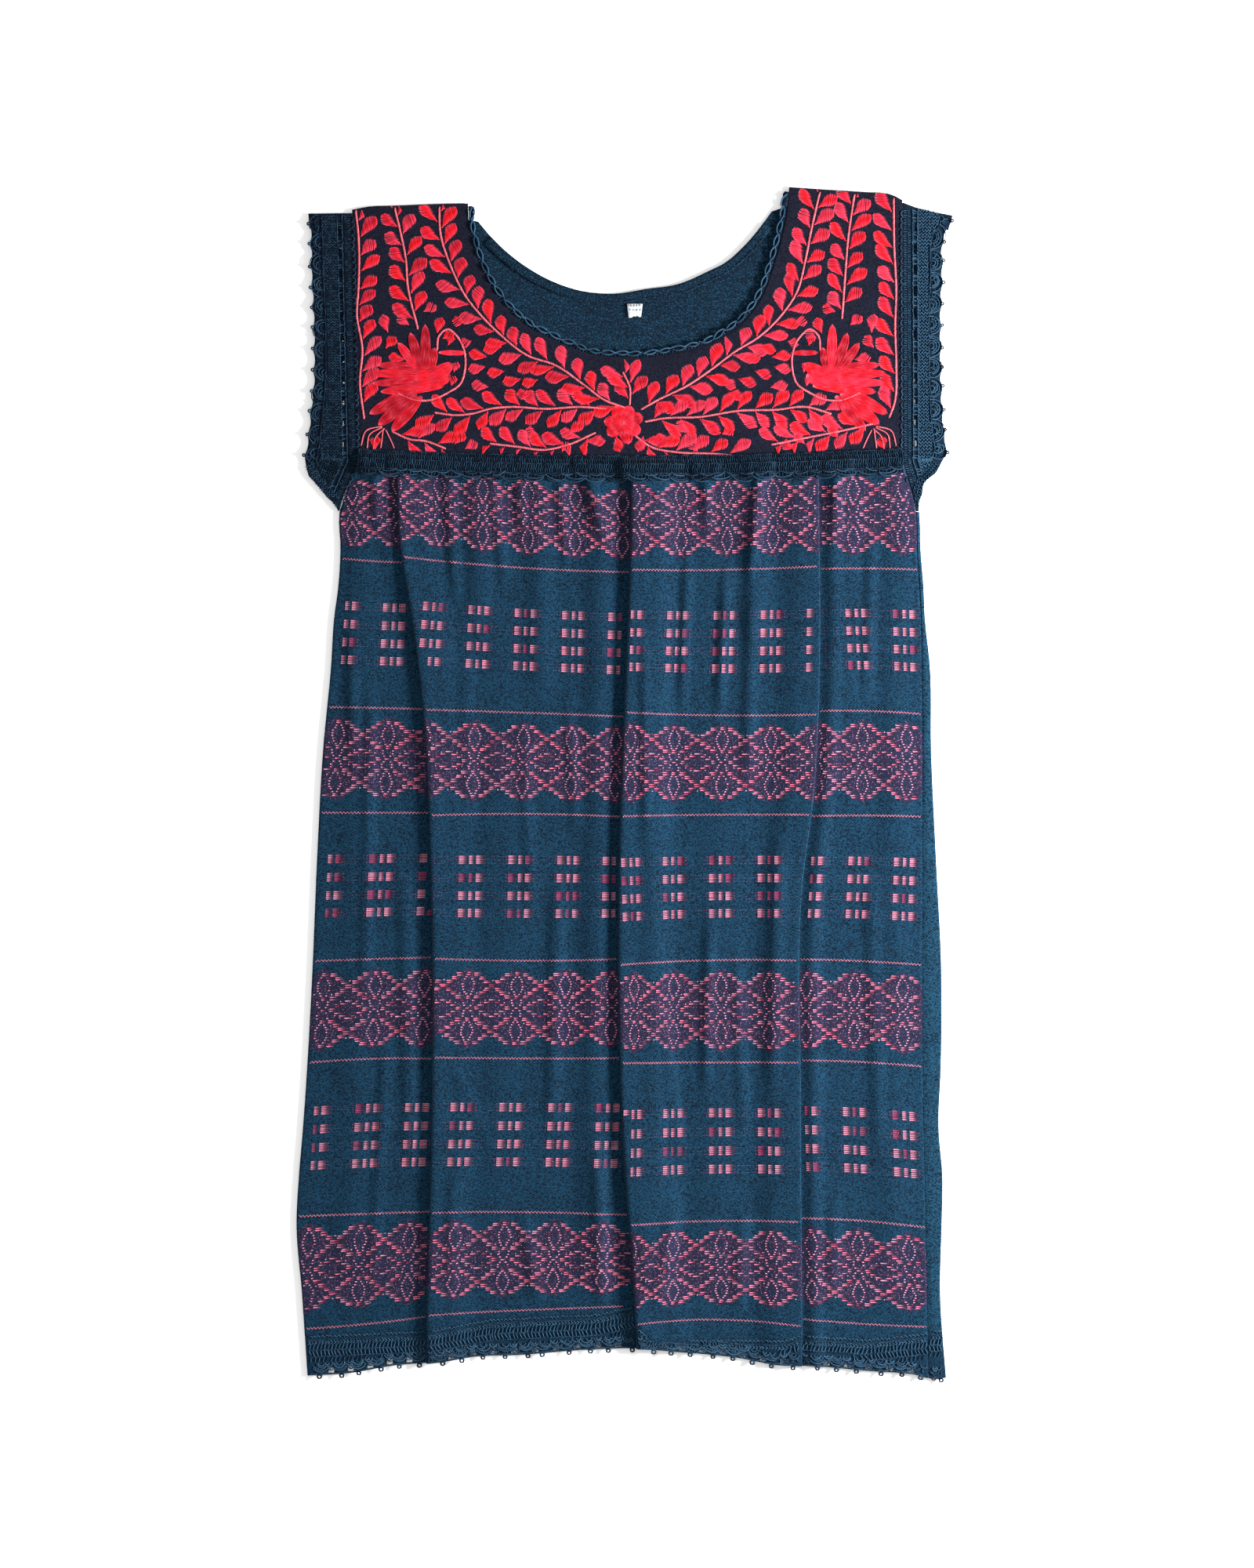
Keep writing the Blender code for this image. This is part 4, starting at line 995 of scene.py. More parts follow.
def brocade(panel, random):
    """Raised weft floats of one stretch: stars, blocks and the fine slanting lines."""
    marks = floats_of(panel, random)
    star, row, width, thick = np.array([mark[:4] for mark in marks], dtype=float).T
    kinds = [mark[4] for mark in marks]
    loose = np.array([kind not in ("block", "deep") for kind in kinds])
    star = star + random.normal(0.0, STAR_DRIFT, len(star)) * loose
    row = row + random.normal(0.0, ROW_DRIFT, len(row)) * loose
    half = width / CELLS / 2 * (1.0 + random.uniform(*WIDTH_DRIFT, len(width)) * loose)
    paths = [joined(*chart_place(panel, joined(star - half, star, star + half), row[:, None]))]
    tones = [np.array([colour(*KIND_COLOURS[kind]) for kind in kinds])]
    tones[0][loose & (random.uniform(size=len(kinds)) < DEEP_MARK_SHARE)] = colour(*KIND_COLOURS["deep"])
    wide = [thick]
    step = LINE_STEP / LINE_CELLS / 2
    strokes = np.arange(*LINE_STARS, LINE_STEP / LINE_CELLS)
    lean = LINE_LEAN * np.where(np.arange(len(strokes)) % 2, 1.0, -1.0)
    for line in LINE_ROWS:
        ends = joined(strokes - step, strokes, strokes + step)
        paths.append(joined(*chart_place(panel, ends, line + joined(-lean, 0.0, lean))))
        tones.append(np.tile(colour(*KIND_COLOURS["line"]), (len(strokes), 1)))
        wide.append(np.full(len(strokes), LINE_THREAD))
    paths, tones, wide = np.concatenate(paths), np.concatenate(tones), np.concatenate(wide)
    left, right = panel_span(panel, paths[:, :, 1])
    inside = ((paths[:, :, 0] > left + FLOAT_SIDE) & (paths[:, :, 0] < right - FLOAT_SIDE)).all(axis=1)
    x, y = paths[:, 1].T
    low = panel_hem(panel, np.clip((x - left[:, 1]) / (right - left)[:, 1], 0.0, 1.0))
    inside &= (y < seam_y(x) - FLOAT_TOP) & (y > low + FLOAT_HEM)
    paths, tones, wide = paths[inside], tones[inside], wide[inside]
    tones = tones * random.uniform(*FLOAT_TONES, (len(tones), 1))
    tints = np.clip(tones[:, None, :] * FLOAT_SHADES[:, None], 0.0, 1.0)
    widths = wide[:, None] * FLOAT_WIDTHS
    rises = FLOAT_RISE * wide[:, None] / FLOAT_WIDTH * FLOAT_RISES
    piece = ribbons("brocade_" + panel, paths, widths, rises,
                    lambda x, y: panel_height(panel, x, y) + WALL / 2, tints, WEFT)
    return piece


# Embroidery: each vine runs from its root to its growing end. sides says where its leaves are,
# seen along its growth.
Vine = namedtuple("Vine", "sides pitch points")
VINES = rows_of(Vine, [
    ("right", 13.8, [(-214.5, 298), (-218, 328), (-216, 354), (-220.5, 384), (-219.3, 402),
        (-219.2, 447), (-222, 473)]),
    ("both", 15.6, [(-170.7, 371.2), (-179, 406.4), (-180.5, 427.5), (-185.3, 451.8),
        (-190.4, 473)]),
    ("both", 14.6, [(-1.6, 306.8), (-18.2, 313), (-36.4, 326.4), (-59.2, 341.8), (-80.3, 349),
        (-105.9, 368.6), (-119.4, 382.3), (-131.5, 397.4), (-143.7, 421.8), (-152, 447.4),
        (-153.3, 474)]),
    ("both", 14.4, [(-17, 305.9), (-36.4, 307.5), (-66.6, 306), (-96.8, 307.5), (-111.8, 306),
        (-125.4, 302.3), (-139.2, 300.8), (-157.1, 302.9)]),
    ("both", 13.6, [(-25.9, 286.4), (-48.4, 276.6), (-66.6, 272.6), (-90.7, 275.2), (-112, 277.6)]),
    ("both", 15.0, [(-191.8, 287.4), (-176.8, 281), (-164.8, 279.7), (-148.2, 273.6)]),
    ("both", 14.6, [(11.2, 305.3), (25.9, 313.6), (49, 324.8), (68.5, 337.9), (88, 352.6),
        (107.7, 364.8), (125.6, 382), (138.6, 401.5), (145.2, 426), (150, 450.6), (158, 486)]),
    ("both", 14.2, [(175.4, 379.5), (177.9, 414.7), (180.4, 445.6), (186, 484)]),
    ("left", 14.0, [(213.8, 298.6), (217.9, 310), (219.5, 342.7), (218.6, 372), (219.5, 401.5),
        (217.9, 437.4), (217.4, 481)]),
    ("both", 14.4, [(14.4, 295.4), (27.7, 297.9), (60.4, 299.5), (91.2, 304.4), (122.4, 305.3),
        (145.2, 307.6), (166.5, 301.9)]),
    ("both", 14.2, [(6.5, 284), (19.5, 274.9), (40.6, 270.6), (68.5, 269.4), (86.5, 268)]),
    ("both", 13.6, [(200.6, 293.8), (179.5, 289), (150, 283.1), (117.4, 276.6)]),
    ("both", 9.5, [(2.2, 309), (2.2, 323.2), (-3.5, 336)]),
])
LEAF_ANGLE = 42.0
LEAF_LENGTH = 18.6
LEAF_WIDTH = 9.8
LEAF_OUT = 1.5
LEAF_FULLEST = 1.75
STITCH_PITCH = 0.8
STITCH_WIDTH = 1.3
STITCH_SLANT = 0.7
STITCH_RISE = 0.62
STEM_STITCH = 4.2
STEM_PITCH = 2.0
STEM_WIDTH = 1.95
STEM_OFFSET = 0.28
STEM_RISE = 1.3
STEM_RIM = 0.8
STEM_SHARES = np.linspace(-1, 1, 5)
# A stitch from end to end: where its points are, and its width, rise and share of the rim's colour.
STITCH_SHARES = np.array([0.0, 0.2, 0.5, 0.8, 1.0])
STITCH_WIDTHS = np.array([0.5, 1.0, 1.0, 1.0, 0.5])
STITCH_RISES = np.array([0.1, 0.7, 1.0, 0.7, 0.1])
STITCH_BLEND = np.array([1.0, 0.3, 0.0, 0.3, 1.0])[:, None]
WIDTH_SPREAD = (0.85, 1.15)
RISE_SPREAD = (0.8, 1.15)
SHADE_SPREAD = (0.86, 1.42)
TINT_LIMIT = 0.98
LEAF_SPAN = (0.03, 0.99)
LEAF_ROUND = 0.78
LEAF_LOOSE = (-0.3, 0.35)
LEAF_OVER = 0.3
LEAF_TURN = (-7, 7)
LEAF_SIZES = (0.86, 1.12)
LEAF_WIDTHS = (0.88, 1.1)
LEAF_STEPS = (0.9, 1.1)
# Share of a vine's pitch before the first leaf, on its left and on its right.
LEAF_FIRST = {1: 0.55, -1: 0.95}
LEAF_LAST = 2.0
VINE_SIDES = {"left": (1,), "right": (-1,), "both": (1, -1)}
FILLER_TURN = (-8, 8)
FILLER_WIDTH = 0.9

# Leaves that fill the ground between the vines of the left half: place of the middle and the
# angle of the tip. The right half has them mirrored.
Filler = namedtuple("Filler", "x y angle length")
FILLERS = rows_of(Filler, [
    (-110, 355.8, 187, 15), (-121.7, 349, 175, 15), (-97.5, 346.5, 180, 14), (-122.4, 338.5, 195, 14),
    (-107, 335.5, 190, 14), (-93.8, 328, 197, 15), (-119.8, 324.9, 170, 14), (-131.5, 360.3, 190, 9),
    (-153.3, 374, 76, 13), (-137.5, 377, 185, 10), (-197.1, 375.5, 104, 15), (-193.3, 360.3, 52, 12),
    (-182.7, 377.7, 145, 12), (-188, 346.9, 175, 13), (-79, 327, 205, 13), (-205, 278, 80, 11),
    (-137, 282, 50, 12), (-127, 275.5, 20, 11), (-26, 281, 10, 16), (-42, 290, 35, 15),
    (-7, 277.5, -70, 13), (-51, 275, 60, 9), (-78, 287, 160, 10), (-84, 318, 185, 12),
    (-146, 366, 30, 10), (-161, 388, 30, 11),
])
MIRROR_X = 2.0

# Birds: plumes of long stitches from root to tip, about the middle of the bird.
Plume = namedtuple("Plume", "x y tip_x tip_y width")
PLUMES = rows_of(Plume, [
    (-5, -9, -42, -29, 9.4), (-3, -12, -35, -38, 10.4), (1, -14, -24, -43, 9.6), (20, 6, -36, 11, 8.0),
    (24, 3, -41, 4, 8.4), (24, -1, -40, -4, 8.0), (20, -6, -33, -11, 8.0), (25, 1, -6, 1, 18.0),
    (-6, -10, 26, 12, 13.0), (4, 4, 3.2, 44, 8.0), (1, 4, -9.0, 37, 8.0), (-2, 6, -19.0, 29.0, 7.4),
    (8, 6, 11, 25, 7.0), (14, 21, 37, 20.5, 3.8),
])
LOOP = [(13, 22.7), (14.7, 34.7), (21.4, 40), (28.8, 34.7), (35, 22.7), (35.8, 7.7), (32, -4.5),
        (21.4, -12), (6.4, -17.9), (-4.2, -17.9), (-19.3, -12)]
SPOTS = [(23.7, 31), (28.2, 9), (26, -2.2)]
SPOT_ROOT = (-1.5, -4.0)
SPOT_ANGLE = 70
SPOT_LENGTH = 8.4
SPOT_WIDTH = 6.4
ROOT_WIDTH = 1.2
BIRD_LEFT = (-168.0, 330.9)
BIRD_RIGHT = (170.6, 330.9)
# Strands that spread from under each tail towards the band, from that bird's middle.
ROOTS = [
    [(-32, -39), (-45, -43), (-49, -55)], [(-32, -40), (-42, -46), (-44, -57)],
    [(-31, -41), (-32, -50), (-33, -57)], [(-29, -42), (-25, -50), (-22, -57)],
    [(-30, -41), (-37, -48), (-39, -58)],
]
FLOWER = (-3.5, 294.4)
FLOWER_RADIUS = 15.8
FLOWER_PETALS = 7
PETAL_TURN = (10, 30)
PETAL_LENGTHS = (0.95, 1.15)
PETAL_WIDTHS = (10.0, 12.5)

SATIN = [(255, 6, 24), (250, 40, 70), (228, 18, 48), (255, 14, 38), (240, 48, 78)]
SATIN_RIM = (250, 84, 108)
PLUME_TONES = [(255, 6, 24), (250, 30, 56), (216, 6, 30), (188, 4, 30)]
STEM_COLOUR = (244, 108, 122)


def turn_of(degrees):
    """Unit direction at an angle."""
    angle = math.radians(degrees)
    return np.array([math.cos(angle), math.sin(angle)])


def leaf_half_width(share, width):
    """Half width of a leaf at shares of its length: narrow at its stem, round at its tip."""
    share = np.clip(share, 0.0, 1.0)
    return width / 2 * np.sin(math.pi * share**LEAF_FULLEST) ** LEAF_ROUND


def thread(points, width, rise, core, rim, random):
    """One bundle of stitches: points (stitch, 5, xy) with their widths, rises and colours."""
    count = len(points)
    widths = width * STITCH_WIDTHS * random.uniform(*WIDTH_SPREAD, (count, 1))
    rises = rise * STITCH_RISES * random.uniform(*RISE_SPREAD, (count, 1))
    shade = random.uniform(*SHADE_SPREAD, (count, 1, 1))
    tints = (core * (1 - STITCH_BLEND) + rim * STITCH_BLEND)[None] * shade
    return points, widths, rises, np.clip(tints, 0.0, TINT_LIMIT)


def leaf(root, degrees, length, width, random):
    """Satin-stitched leaf from its stem to its tip."""
    axis = turn_of(degrees)
    side = turned_left(axis)
    count = max(5, round(length / STITCH_PITCH))
    place = np.linspace(*LEAF_SPAN, count)
    slant = STITCH_SLANT * leaf_half_width(place, width) / length
    ends = []
    for sign, loose in zip((1, -1), random.uniform(*LEAF_LOOSE, (count, 2)).T):
        share = np.clip(place + sign * slant, 0.0, 1.0)
        out = leaf_half_width(share, width) + loose + LEAF_OVER
        ends.append(share[:, None] * length * axis + sign * out[:, None] * side)
    start, end = ends
    points = root + start[:, None, :] + (end - start)[:, None, :] * STITCH_SHARES[None, :, None]
    core = colour(*SATIN[random.integers(len(SATIN))])
    return thread(points, STITCH_WIDTH, STITCH_RISE, core, colour(*SATIN_RIM), random)


def stem(points, random, width=STEM_WIDTH):
    """Stem stitch along a path: short slanting stitches, each beside the last."""
    length = path_length(points)
    count = max(3, round(length / STEM_PITCH))
    middle = (np.arange(count) + 0.5) / count
    reach = STEM_STITCH / 2 / length
    share = np.clip(middle[:, None] + reach * STEM_SHARES, 0.0, 1.0)
    offset = width * STEM_OFFSET * -STEM_SHARES
    points, tone = beside(points, share, offset), colour(*STEM_COLOUR)
    return thread(points, width, STITCH_RISE * STEM_RISE, tone, tone * STEM_RIM, random)


PLUME_RUN = 13.0
PLUME_ACROSS = 0.92
PLUME_PITCH = 1.05
PLUME_WIDTH = 1.15
PLUME_RIM = 0.9
PLUME_START = 0.02
PLUME_FULLEST = 1.1
PLUME_ROUND = 0.5
# Runs start and end unevenly, and each reaches into the next.
PLUME_DRIFT = 0.09
PLUME_BEFORE = 0.05
PLUME_AFTER = 0.07


def plume(root, tip, width, random):
    """Long stitches that lie along a plume, in runs that start and end unevenly."""
    root, tip = np.array(root), np.array(tip)
    length = float(np.hypot(*(tip - root)))
    axis = (tip - root) / length
    side = turned_left(axis)
    runs = max(2, round(length / PLUME_RUN))
    lines = max(3, round(width / (STITCH_PITCH * PLUME_PITCH)))
    bundle = []
    for across in np.linspace(-PLUME_ACROSS, PLUME_ACROSS, lines):
        cuts = evenly(runs) + random.uniform(-PLUME_DRIFT, PLUME_DRIFT, runs + 1)
        cuts = np.sort(np.clip(cuts, 0, 1))
        for start, end in zip(cuts[:-1] - PLUME_BEFORE, cuts[1:] + PLUME_AFTER):
            begin = max(start, PLUME_START)
            share = begin + (min(end, 1.0) - begin) * STITCH_SHARES
            half = width / 2 * np.sin(math.pi * np.clip(share, 0.0, 1.0) ** PLUME_FULLEST) ** PLUME_ROUND
            bundle.append(root + share[:, None] * length * axis + (across * half)[:, None] * side)
    core = colour(*PLUME_TONES[random.integers(len(PLUME_TONES))])
    rim = colour(*SATIN_RIM) * PLUME_RIM
    return thread(np.array(bundle), STITCH_WIDTH * PLUME_WIDTH, STITCH_RISE, core, rim, random)


def flower(random):
    """Round flower of broad uneven petals of long stitches."""
    centre = np.array(FLOWER)
    bundles = []
    for k in range(FLOWER_PETALS):
        ray = turn_of(360.0 * k / FLOWER_PETALS + random.uniform(*PETAL_TURN))
        tip = centre + FLOWER_RADIUS * random.uniform(*PETAL_LENGTHS) * ray
        bundles.append(plume(centre, tip, random.uniform(*PETAL_WIDTHS), random))
    return bundles


def bird(middle, flip, random):
    """Bird of long stitches, with its loop, spots and the strands under its tail."""
    def place(x, y):
        return middle[0] + flip * x, middle[1] + y

    bundles = [plume(place(p.x, p.y), place(p.tip_x, p.tip_y), p.width, random) for p in PLUMES]
    bundles.append(stem([place(*p) for p in LOOP], random))
    for x, y in SPOTS:
        root = place(x + SPOT_ROOT[0], y + SPOT_ROOT[1])
        bundles.append(leaf(np.array(root), SPOT_ANGLE, SPOT_LENGTH, SPOT_WIDTH, random))
    for strand in ROOTS:
        bundles.append(stem([place(*p) for p in strand], random, ROOT_WIDTH))
    return bundles


def vine(row, random):
    """Stem of a vine and its leaves, which slant towards its growing end."""
    bundles = [stem(row.points, random)]
    length = path_length(row.points)
    for side in VINE_SIDES[row.sides]:
        place = row.pitch * LEAF_FIRST[side]
        while place < length + LEAF_LAST:
            share = min(1.0, place / length)
            along = path_tangent(row.points, share)
            heading = math.degrees(math.atan2(along[1], along[0]))
            degrees = heading + side * (LEAF_ANGLE + random.uniform(*LEAF_TURN))
            size = random.uniform(*LEAF_SIZES)
            root = beside(row.points, share, side * LEAF_OUT)
            width = LEAF_WIDTH * random.uniform(*LEAF_WIDTHS)
            bundles.append(leaf(root, degrees, LEAF_LENGTH * size, width, random))
            place += row.pitch * random.uniform(*LEAF_STEPS)
    return bundles


def inside_outline(outline, points):
    """Whether points lie inside a closed outline."""
    x, y = points[..., 0, None], points[..., 1, None]
    start, end = outline, np.roll(outline, -1, axis=0)
    crosses = (start[:, 1] > y) != (end[:, 1] > y)
    rise = np.where(end[:, 1] == start[:, 1], 1.0, end[:, 1] - start[:, 1])
    where = start[:, 0] + (y - start[:, 1]) / rise * (end[:, 0] - start[:, 0])
    return (crosses & (x < where)).sum(axis=-1) % 2 == 1


EMBROIDERY_MARGIN = 1.2
BAND_CLEAR = 8.2
OUTLINE_STEPS = 49
OUTLINE_DROP = 0.8
OUTLINE_LOW = 5.0
OUTLINE_INSET = 1.0
OUTLINE_LEFT = -221.5
OUTLINE_RIGHT = 222.5


def flat_at(height):
    """Flat surface at a height, as a function of place."""
    return lambda x, y: height + 0.0 * x


def embroidery(random):
    """Satin-stitched vines, leaves, birds and flower on the yoke."""
    bundles = flower(random) + bird(BIRD_LEFT, 1, random) + bird(BIRD_RIGHT, -1, random)
    for row in VINES:
        bundles += vine(row, random)
    for row in FILLERS:
        for flip in (1, -1):
            degrees = row.angle if flip > 0 else 180 - row.angle
            x = row.x if flip > 0 else 2 * MIRROR_X - row.x
            root = np.array([x, row.y]) - turn_of(degrees) * row.length / 2
            degrees += random.uniform(*FILLER_TURN)
            bundles.append(leaf(root, degrees, row.length, LEAF_WIDTH * FILLER_WIDTH, random))
    points, widths, rises, tints = (np.concatenate(parts) for parts in zip(*bundles))
    share = evenly(OUTLINE_STEPS)
    neck = neck_line(-EDGING_WIDTH / 2 - EMBROIDERY_MARGIN, OUTLINE_STEPS)
    drop = np.array([0.0, OUTLINE_DROP])
    left = path_at(LEFT_SHOULDER, share) - drop
    right = path_at(RIGHT_SHOULDER, share) - drop
    low = seam_y(0.0) - OUTLINE_LOW
    inward = [OUTLINE_INSET, 0.0]
    outline = np.concatenate([[(OUTLINE_LEFT, low)], left + inward, neck[1:-1], right - inward,
                              [(OUTLINE_RIGHT, low)]])
    keep = inside_outline(outline, points).all(axis=1)
    keep &= (points[:, :, 1] > seam_y(points[:, :, 0]) + BAND_CLEAR).all(axis=1)
    piece = ribbons("yoke_embroidery", points[keep], widths[keep], rises[keep],
                    flat_at(FRONT_LAYER + WALL / 2), tints[keep], SILK)
    return piece


# Crochet. Each strip is a thin sheet with its real slots and windows, and over it lie the threads
# of its stitches, which repeat along a path: the strip's sewn edge or its outer edge.
Run = namedtuple("Run", "shape pitch across start radius tone")
THREAD = 0.52
THREAD_LEAN = 0.13
THREAD_DRIFT = 0.15
PITCH_DRIFT = 0.06
THREAD_SIZES = (0.9, 1.08)
RUN_OVER = 0.5
THREAD_REST = 0.45
BENT_RISE = 0.35
STRAIGHT_RISE = 0.4
THREAD_SIDES = 4
THREAD_TAPER = 0.7
TONE_SPREAD = 0.32
BACK_THREAD = 0.56
BACK_HEM_THREAD = 0.6
PRESSED_RISE = 0.12
THREAD_LIGHT = (58, 97, 126)
THREAD_DARK = (4, 23, 44)


def bow(radius, first, last, squash=1.0, points=6):
    """Thread bent round a centre, from one angle to another, raised in its middle."""
    angle = np.radians(np.linspace(first, last, points))
    rise = BENT_RISE * np.sin(np.linspace(0.0, math.pi, points))
    return joined(radius * np.cos(angle), squash * radius * np.sin(angle), rise)


def bar(along, across, rise=STRAIGHT_RISE):
    """Short straight stitch, raised in its middle."""
    share = np.array([-0.5, 0.0, 0.5])
    return joined(along * share, across * share, rise * np.array([0.0, 1.0, 0.0]))


def vee(along, across):
    """Stitch of two legs that meet in a point."""
    along, across = along / 2, across / 2
    return np.array([[-along, -across, 0.0], [along, 0.0, BENT_RISE], [-along, across, 0.0]])


def spoke(degrees, near, far):
    """Stitch that points away from a centre."""
    ray = np.append(turn_of(degrees), 0.0)
    return np.array([ray * near, ray * (near + far) / 2 + [0.0, 0.0, STRAIGHT_RISE], ray * far])


def run_paths(path, run, side, random):
    """Threads of one run beside a path: (thread, point, xyz), with the rise for z."""
    length = path_length(path)
    places = np.arange(run.start, length, run.pitch)
    places = places + random.normal(0.0, PITCH_DRIFT * run.pitch, len(places))
    size = random.uniform(*THREAD_SIZES, (len(places), 1))
    lean = random.normal(0.0, THREAD_LEAN, (len(places), 1))
    along = places[:, None] + (run.shape[:, 0] - lean * run.shape[:, 1]) * size
    aside = random.normal(0.0, THREAD_DRIFT, lean.shape)
    across = run.across + (run.shape[:, 1] + lean * run.shape[:, 0]) * size + aside
    share = np.clip(along / length, 0.0, 1.0)
    spots = beside(path, share, side * across)
    rise = np.broadcast_to(run.shape[:, 2], along.shape)
    tone = random.uniform(-TONE_SPREAD, TONE_SPREAD, len(places)) + run.tone
    blend = np.clip(tone, 0.0, 1.0)[:, None]
    tints = colour(*THREAD_DARK) * (1 - blend) + colour(*THREAD_LIGHT) * blend
    inside = ((along > -RUN_OVER) & (along < length + RUN_OVER)).all(axis=1)
    return np.concatenate([spots, rise[..., None]], axis=-1)[inside], tints[inside]


def stitches_on(path, runs, side, lift, random, keep=None):
    """Bundles of threads of all runs beside a path, lying on the surface lift(x, y)."""
    bundles = []
    for run in runs:
        threads, tints = run_paths(path, run, side, random)
        if keep is not None:
            kept = keep(threads[..., 0], threads[..., 1]).all(axis=1)
            threads, tints = threads[kept], tints[kept]
        if len(threads):
            threads[..., 2] += lift(threads[..., 0], threads[..., 1]) + run.radius * THREAD_REST
            bundles.append((threads, run.radius, tints))
    return bundles


def thread_mesh(name, bundles):
    """One piece from bundles of round threads: paths (thread, point, xyz), radius and colours."""
    sides = THREAD_SIDES
    ring = np.arange(sides)
    after = np.roll(ring, -1)
    angles = 2 * math.pi * (ring + 0.5) / sides
    all_points, all_tints, quads, ends = [], [], [], []
    first = 0
    for paths, radius, tints in bundles:
        count, length = paths.shape[:2]
        along = unit(np.gradient(paths, axis=1))
        side = unit(np.cross(along, np.array([0.0, 0.0, 1.0])))
        over = np.cross(side, along)
        taper = np.ones(length)
        taper[0] = taper[-1] = THREAD_TAPER
        spread = (radius * taper)[:, None, None]
        points = paths[:, :, None, :] + spread * (np.cos(angles)[:, None] * side[:, :, None, :]
                                                  + np.sin(angles)[:, None] * over[:, :, None, :])
        step = np.arange(length - 1)[:, None] * sides
        walls = joined(step + ring, step + after, step + sides + after, step + sides + ring)
        caps = np.stack([ring[::-1], (length - 1) * sides + ring])
        base = (first + np.arange(count) * length * sides)[:, None, None]
        quads.append((base + walls.reshape(-1, 4)).reshape(-1, 4)[:, ::-1])
        ends.append((base + caps).reshape(-1, sides))
        all_points.append(points.reshape(-1, 3))
        all_tints.append(np.repeat(tints, length * sides, axis=0))
        first += count * length * sides
    tints = np.concatenate(all_tints)
    piece = make_mesh(name, np.concatenate(all_points), quads + ends, THREAD_SILK, tints=tints)
    return piece


def pressed(bundles, height, share):
    """Bundles flattened on a height, with their radius made smaller, for lace under other cloth."""
    return [(paths * [1.0, 1.0, 0.0] + [0.0, 0.0, height + PRESSED_RISE], radius * share, tints)
            for paths, radius, tints in bundles]


# Sleeves. The strip runs down from the shoulder, with its sewn edge on the armhole.
SleeveRow = namedtuple("SleeveRow", "y outer")
LEFT_SLEEVE = rows_of(SleeveRow, [
    (464, -260.0), (448, -259.0), (416, -258.4), (384, -256.8), (352, -256.3), (320, -257.0),
    (304, -258.9), (288, -260.4), (272, -262.4), (260, -263.6), (243, -253.8), (230, -241.5),
    (223, -236.6),
])
RIGHT_SLEEVE = rows_of(SleeveRow, [
    (464, 265.6), (460, 265.4), (446, 259.6), (416, 258.2), (384, 257.0), (352, 257.0), (320, 257.6),
    (288, 259.5), (269, 261.0), (262, 258.2), (254, 252.5), (247, 245.4), (238, 241.6), (222.5, 238.7),
])
LEFT_SLEEVE_TOP = rows_of(EdgeRow, [(-260.0, 465.4), (-224.6, 465.8)])
RIGHT_SLEEVE_TOP = rows_of(EdgeRow, [(225.0, 474.6), (236.0, 470.4), (264.4, 464.0)])
SLEEVE_PITCH = 16.8
SLEEVE_BACK_INSET = 3.0
SLEEVE_TIP = 1.6
SLEEVE_ACROSS = np.array([0.0, 0.09, 0.18, 0.26, 0.335, 0.45, 0.6, 0.75, 0.88, 1.0])
SLEEVE_SLOT = 3
SLEEVE_ROWS = 9
LADDER_OPEN = 5
LADDER_END = 0.8
SLEEVE_SLANT = 259.0
FAN_AT = {"left": 0.37, "right": 0.2}
FAN_DEPTH = 9.4
FAN_NOTCH = 1.7
LADDER_NEAR = 8.6
LADDER_FAR = 11.9
SEWN_SHARE = 0.3
EDGE_POINTS = 26
SLANT_POINTS = 12
# How far the threads keep from the seams, the tip and each other, and how far they may pass an edge.
FAN_GAP = 0.6
SEWN_OVER = 3.0
SEWN_TIP = 2.0
OUTER_TIP = 3.0
OUTER_SEAM = 1.0
OUTER_BEYOND = 6.0
SLEEVE_SIDES = {"left": -1, "right": 1}
# Painted light and shade: the right sleeve's threads are painted lighter and the left sleeve's darker, for
# light that falls from the right.
SLEEVE_PAINTED_LIGHT = {"left": -0.24, "right": 0.16}
SLEEVE_TABLES = {"left": (LEFT_SLEEVE, LEFT_SLEEVE_TOP), "right": (RIGHT_SLEEVE, RIGHT_SLEEVE_TOP)}
COLUMN_RUNS = {
    "left": [Run(vee(1.5, 2.2), 2.1, across, 1.0, 0.46, 0.55) for across in np.arange(13.6, 30.0, 2.5)],
    "right": [Run(vee(2.0, 2.5), 2.7, across, 1.2, 0.54, 0.85) for across in np.arange(13.9, 30.0, 2.8)],
}


def sleeve_outer(edge, y, front):
    """Outer edge of a sleeve strip at heights y."""
    inset = 0.0 if front else SLEEVE_BACK_INSET
    return at(SLEEVE_TABLES[edge][0], "outer", y) - SLEEVE_SIDES[edge] * inset


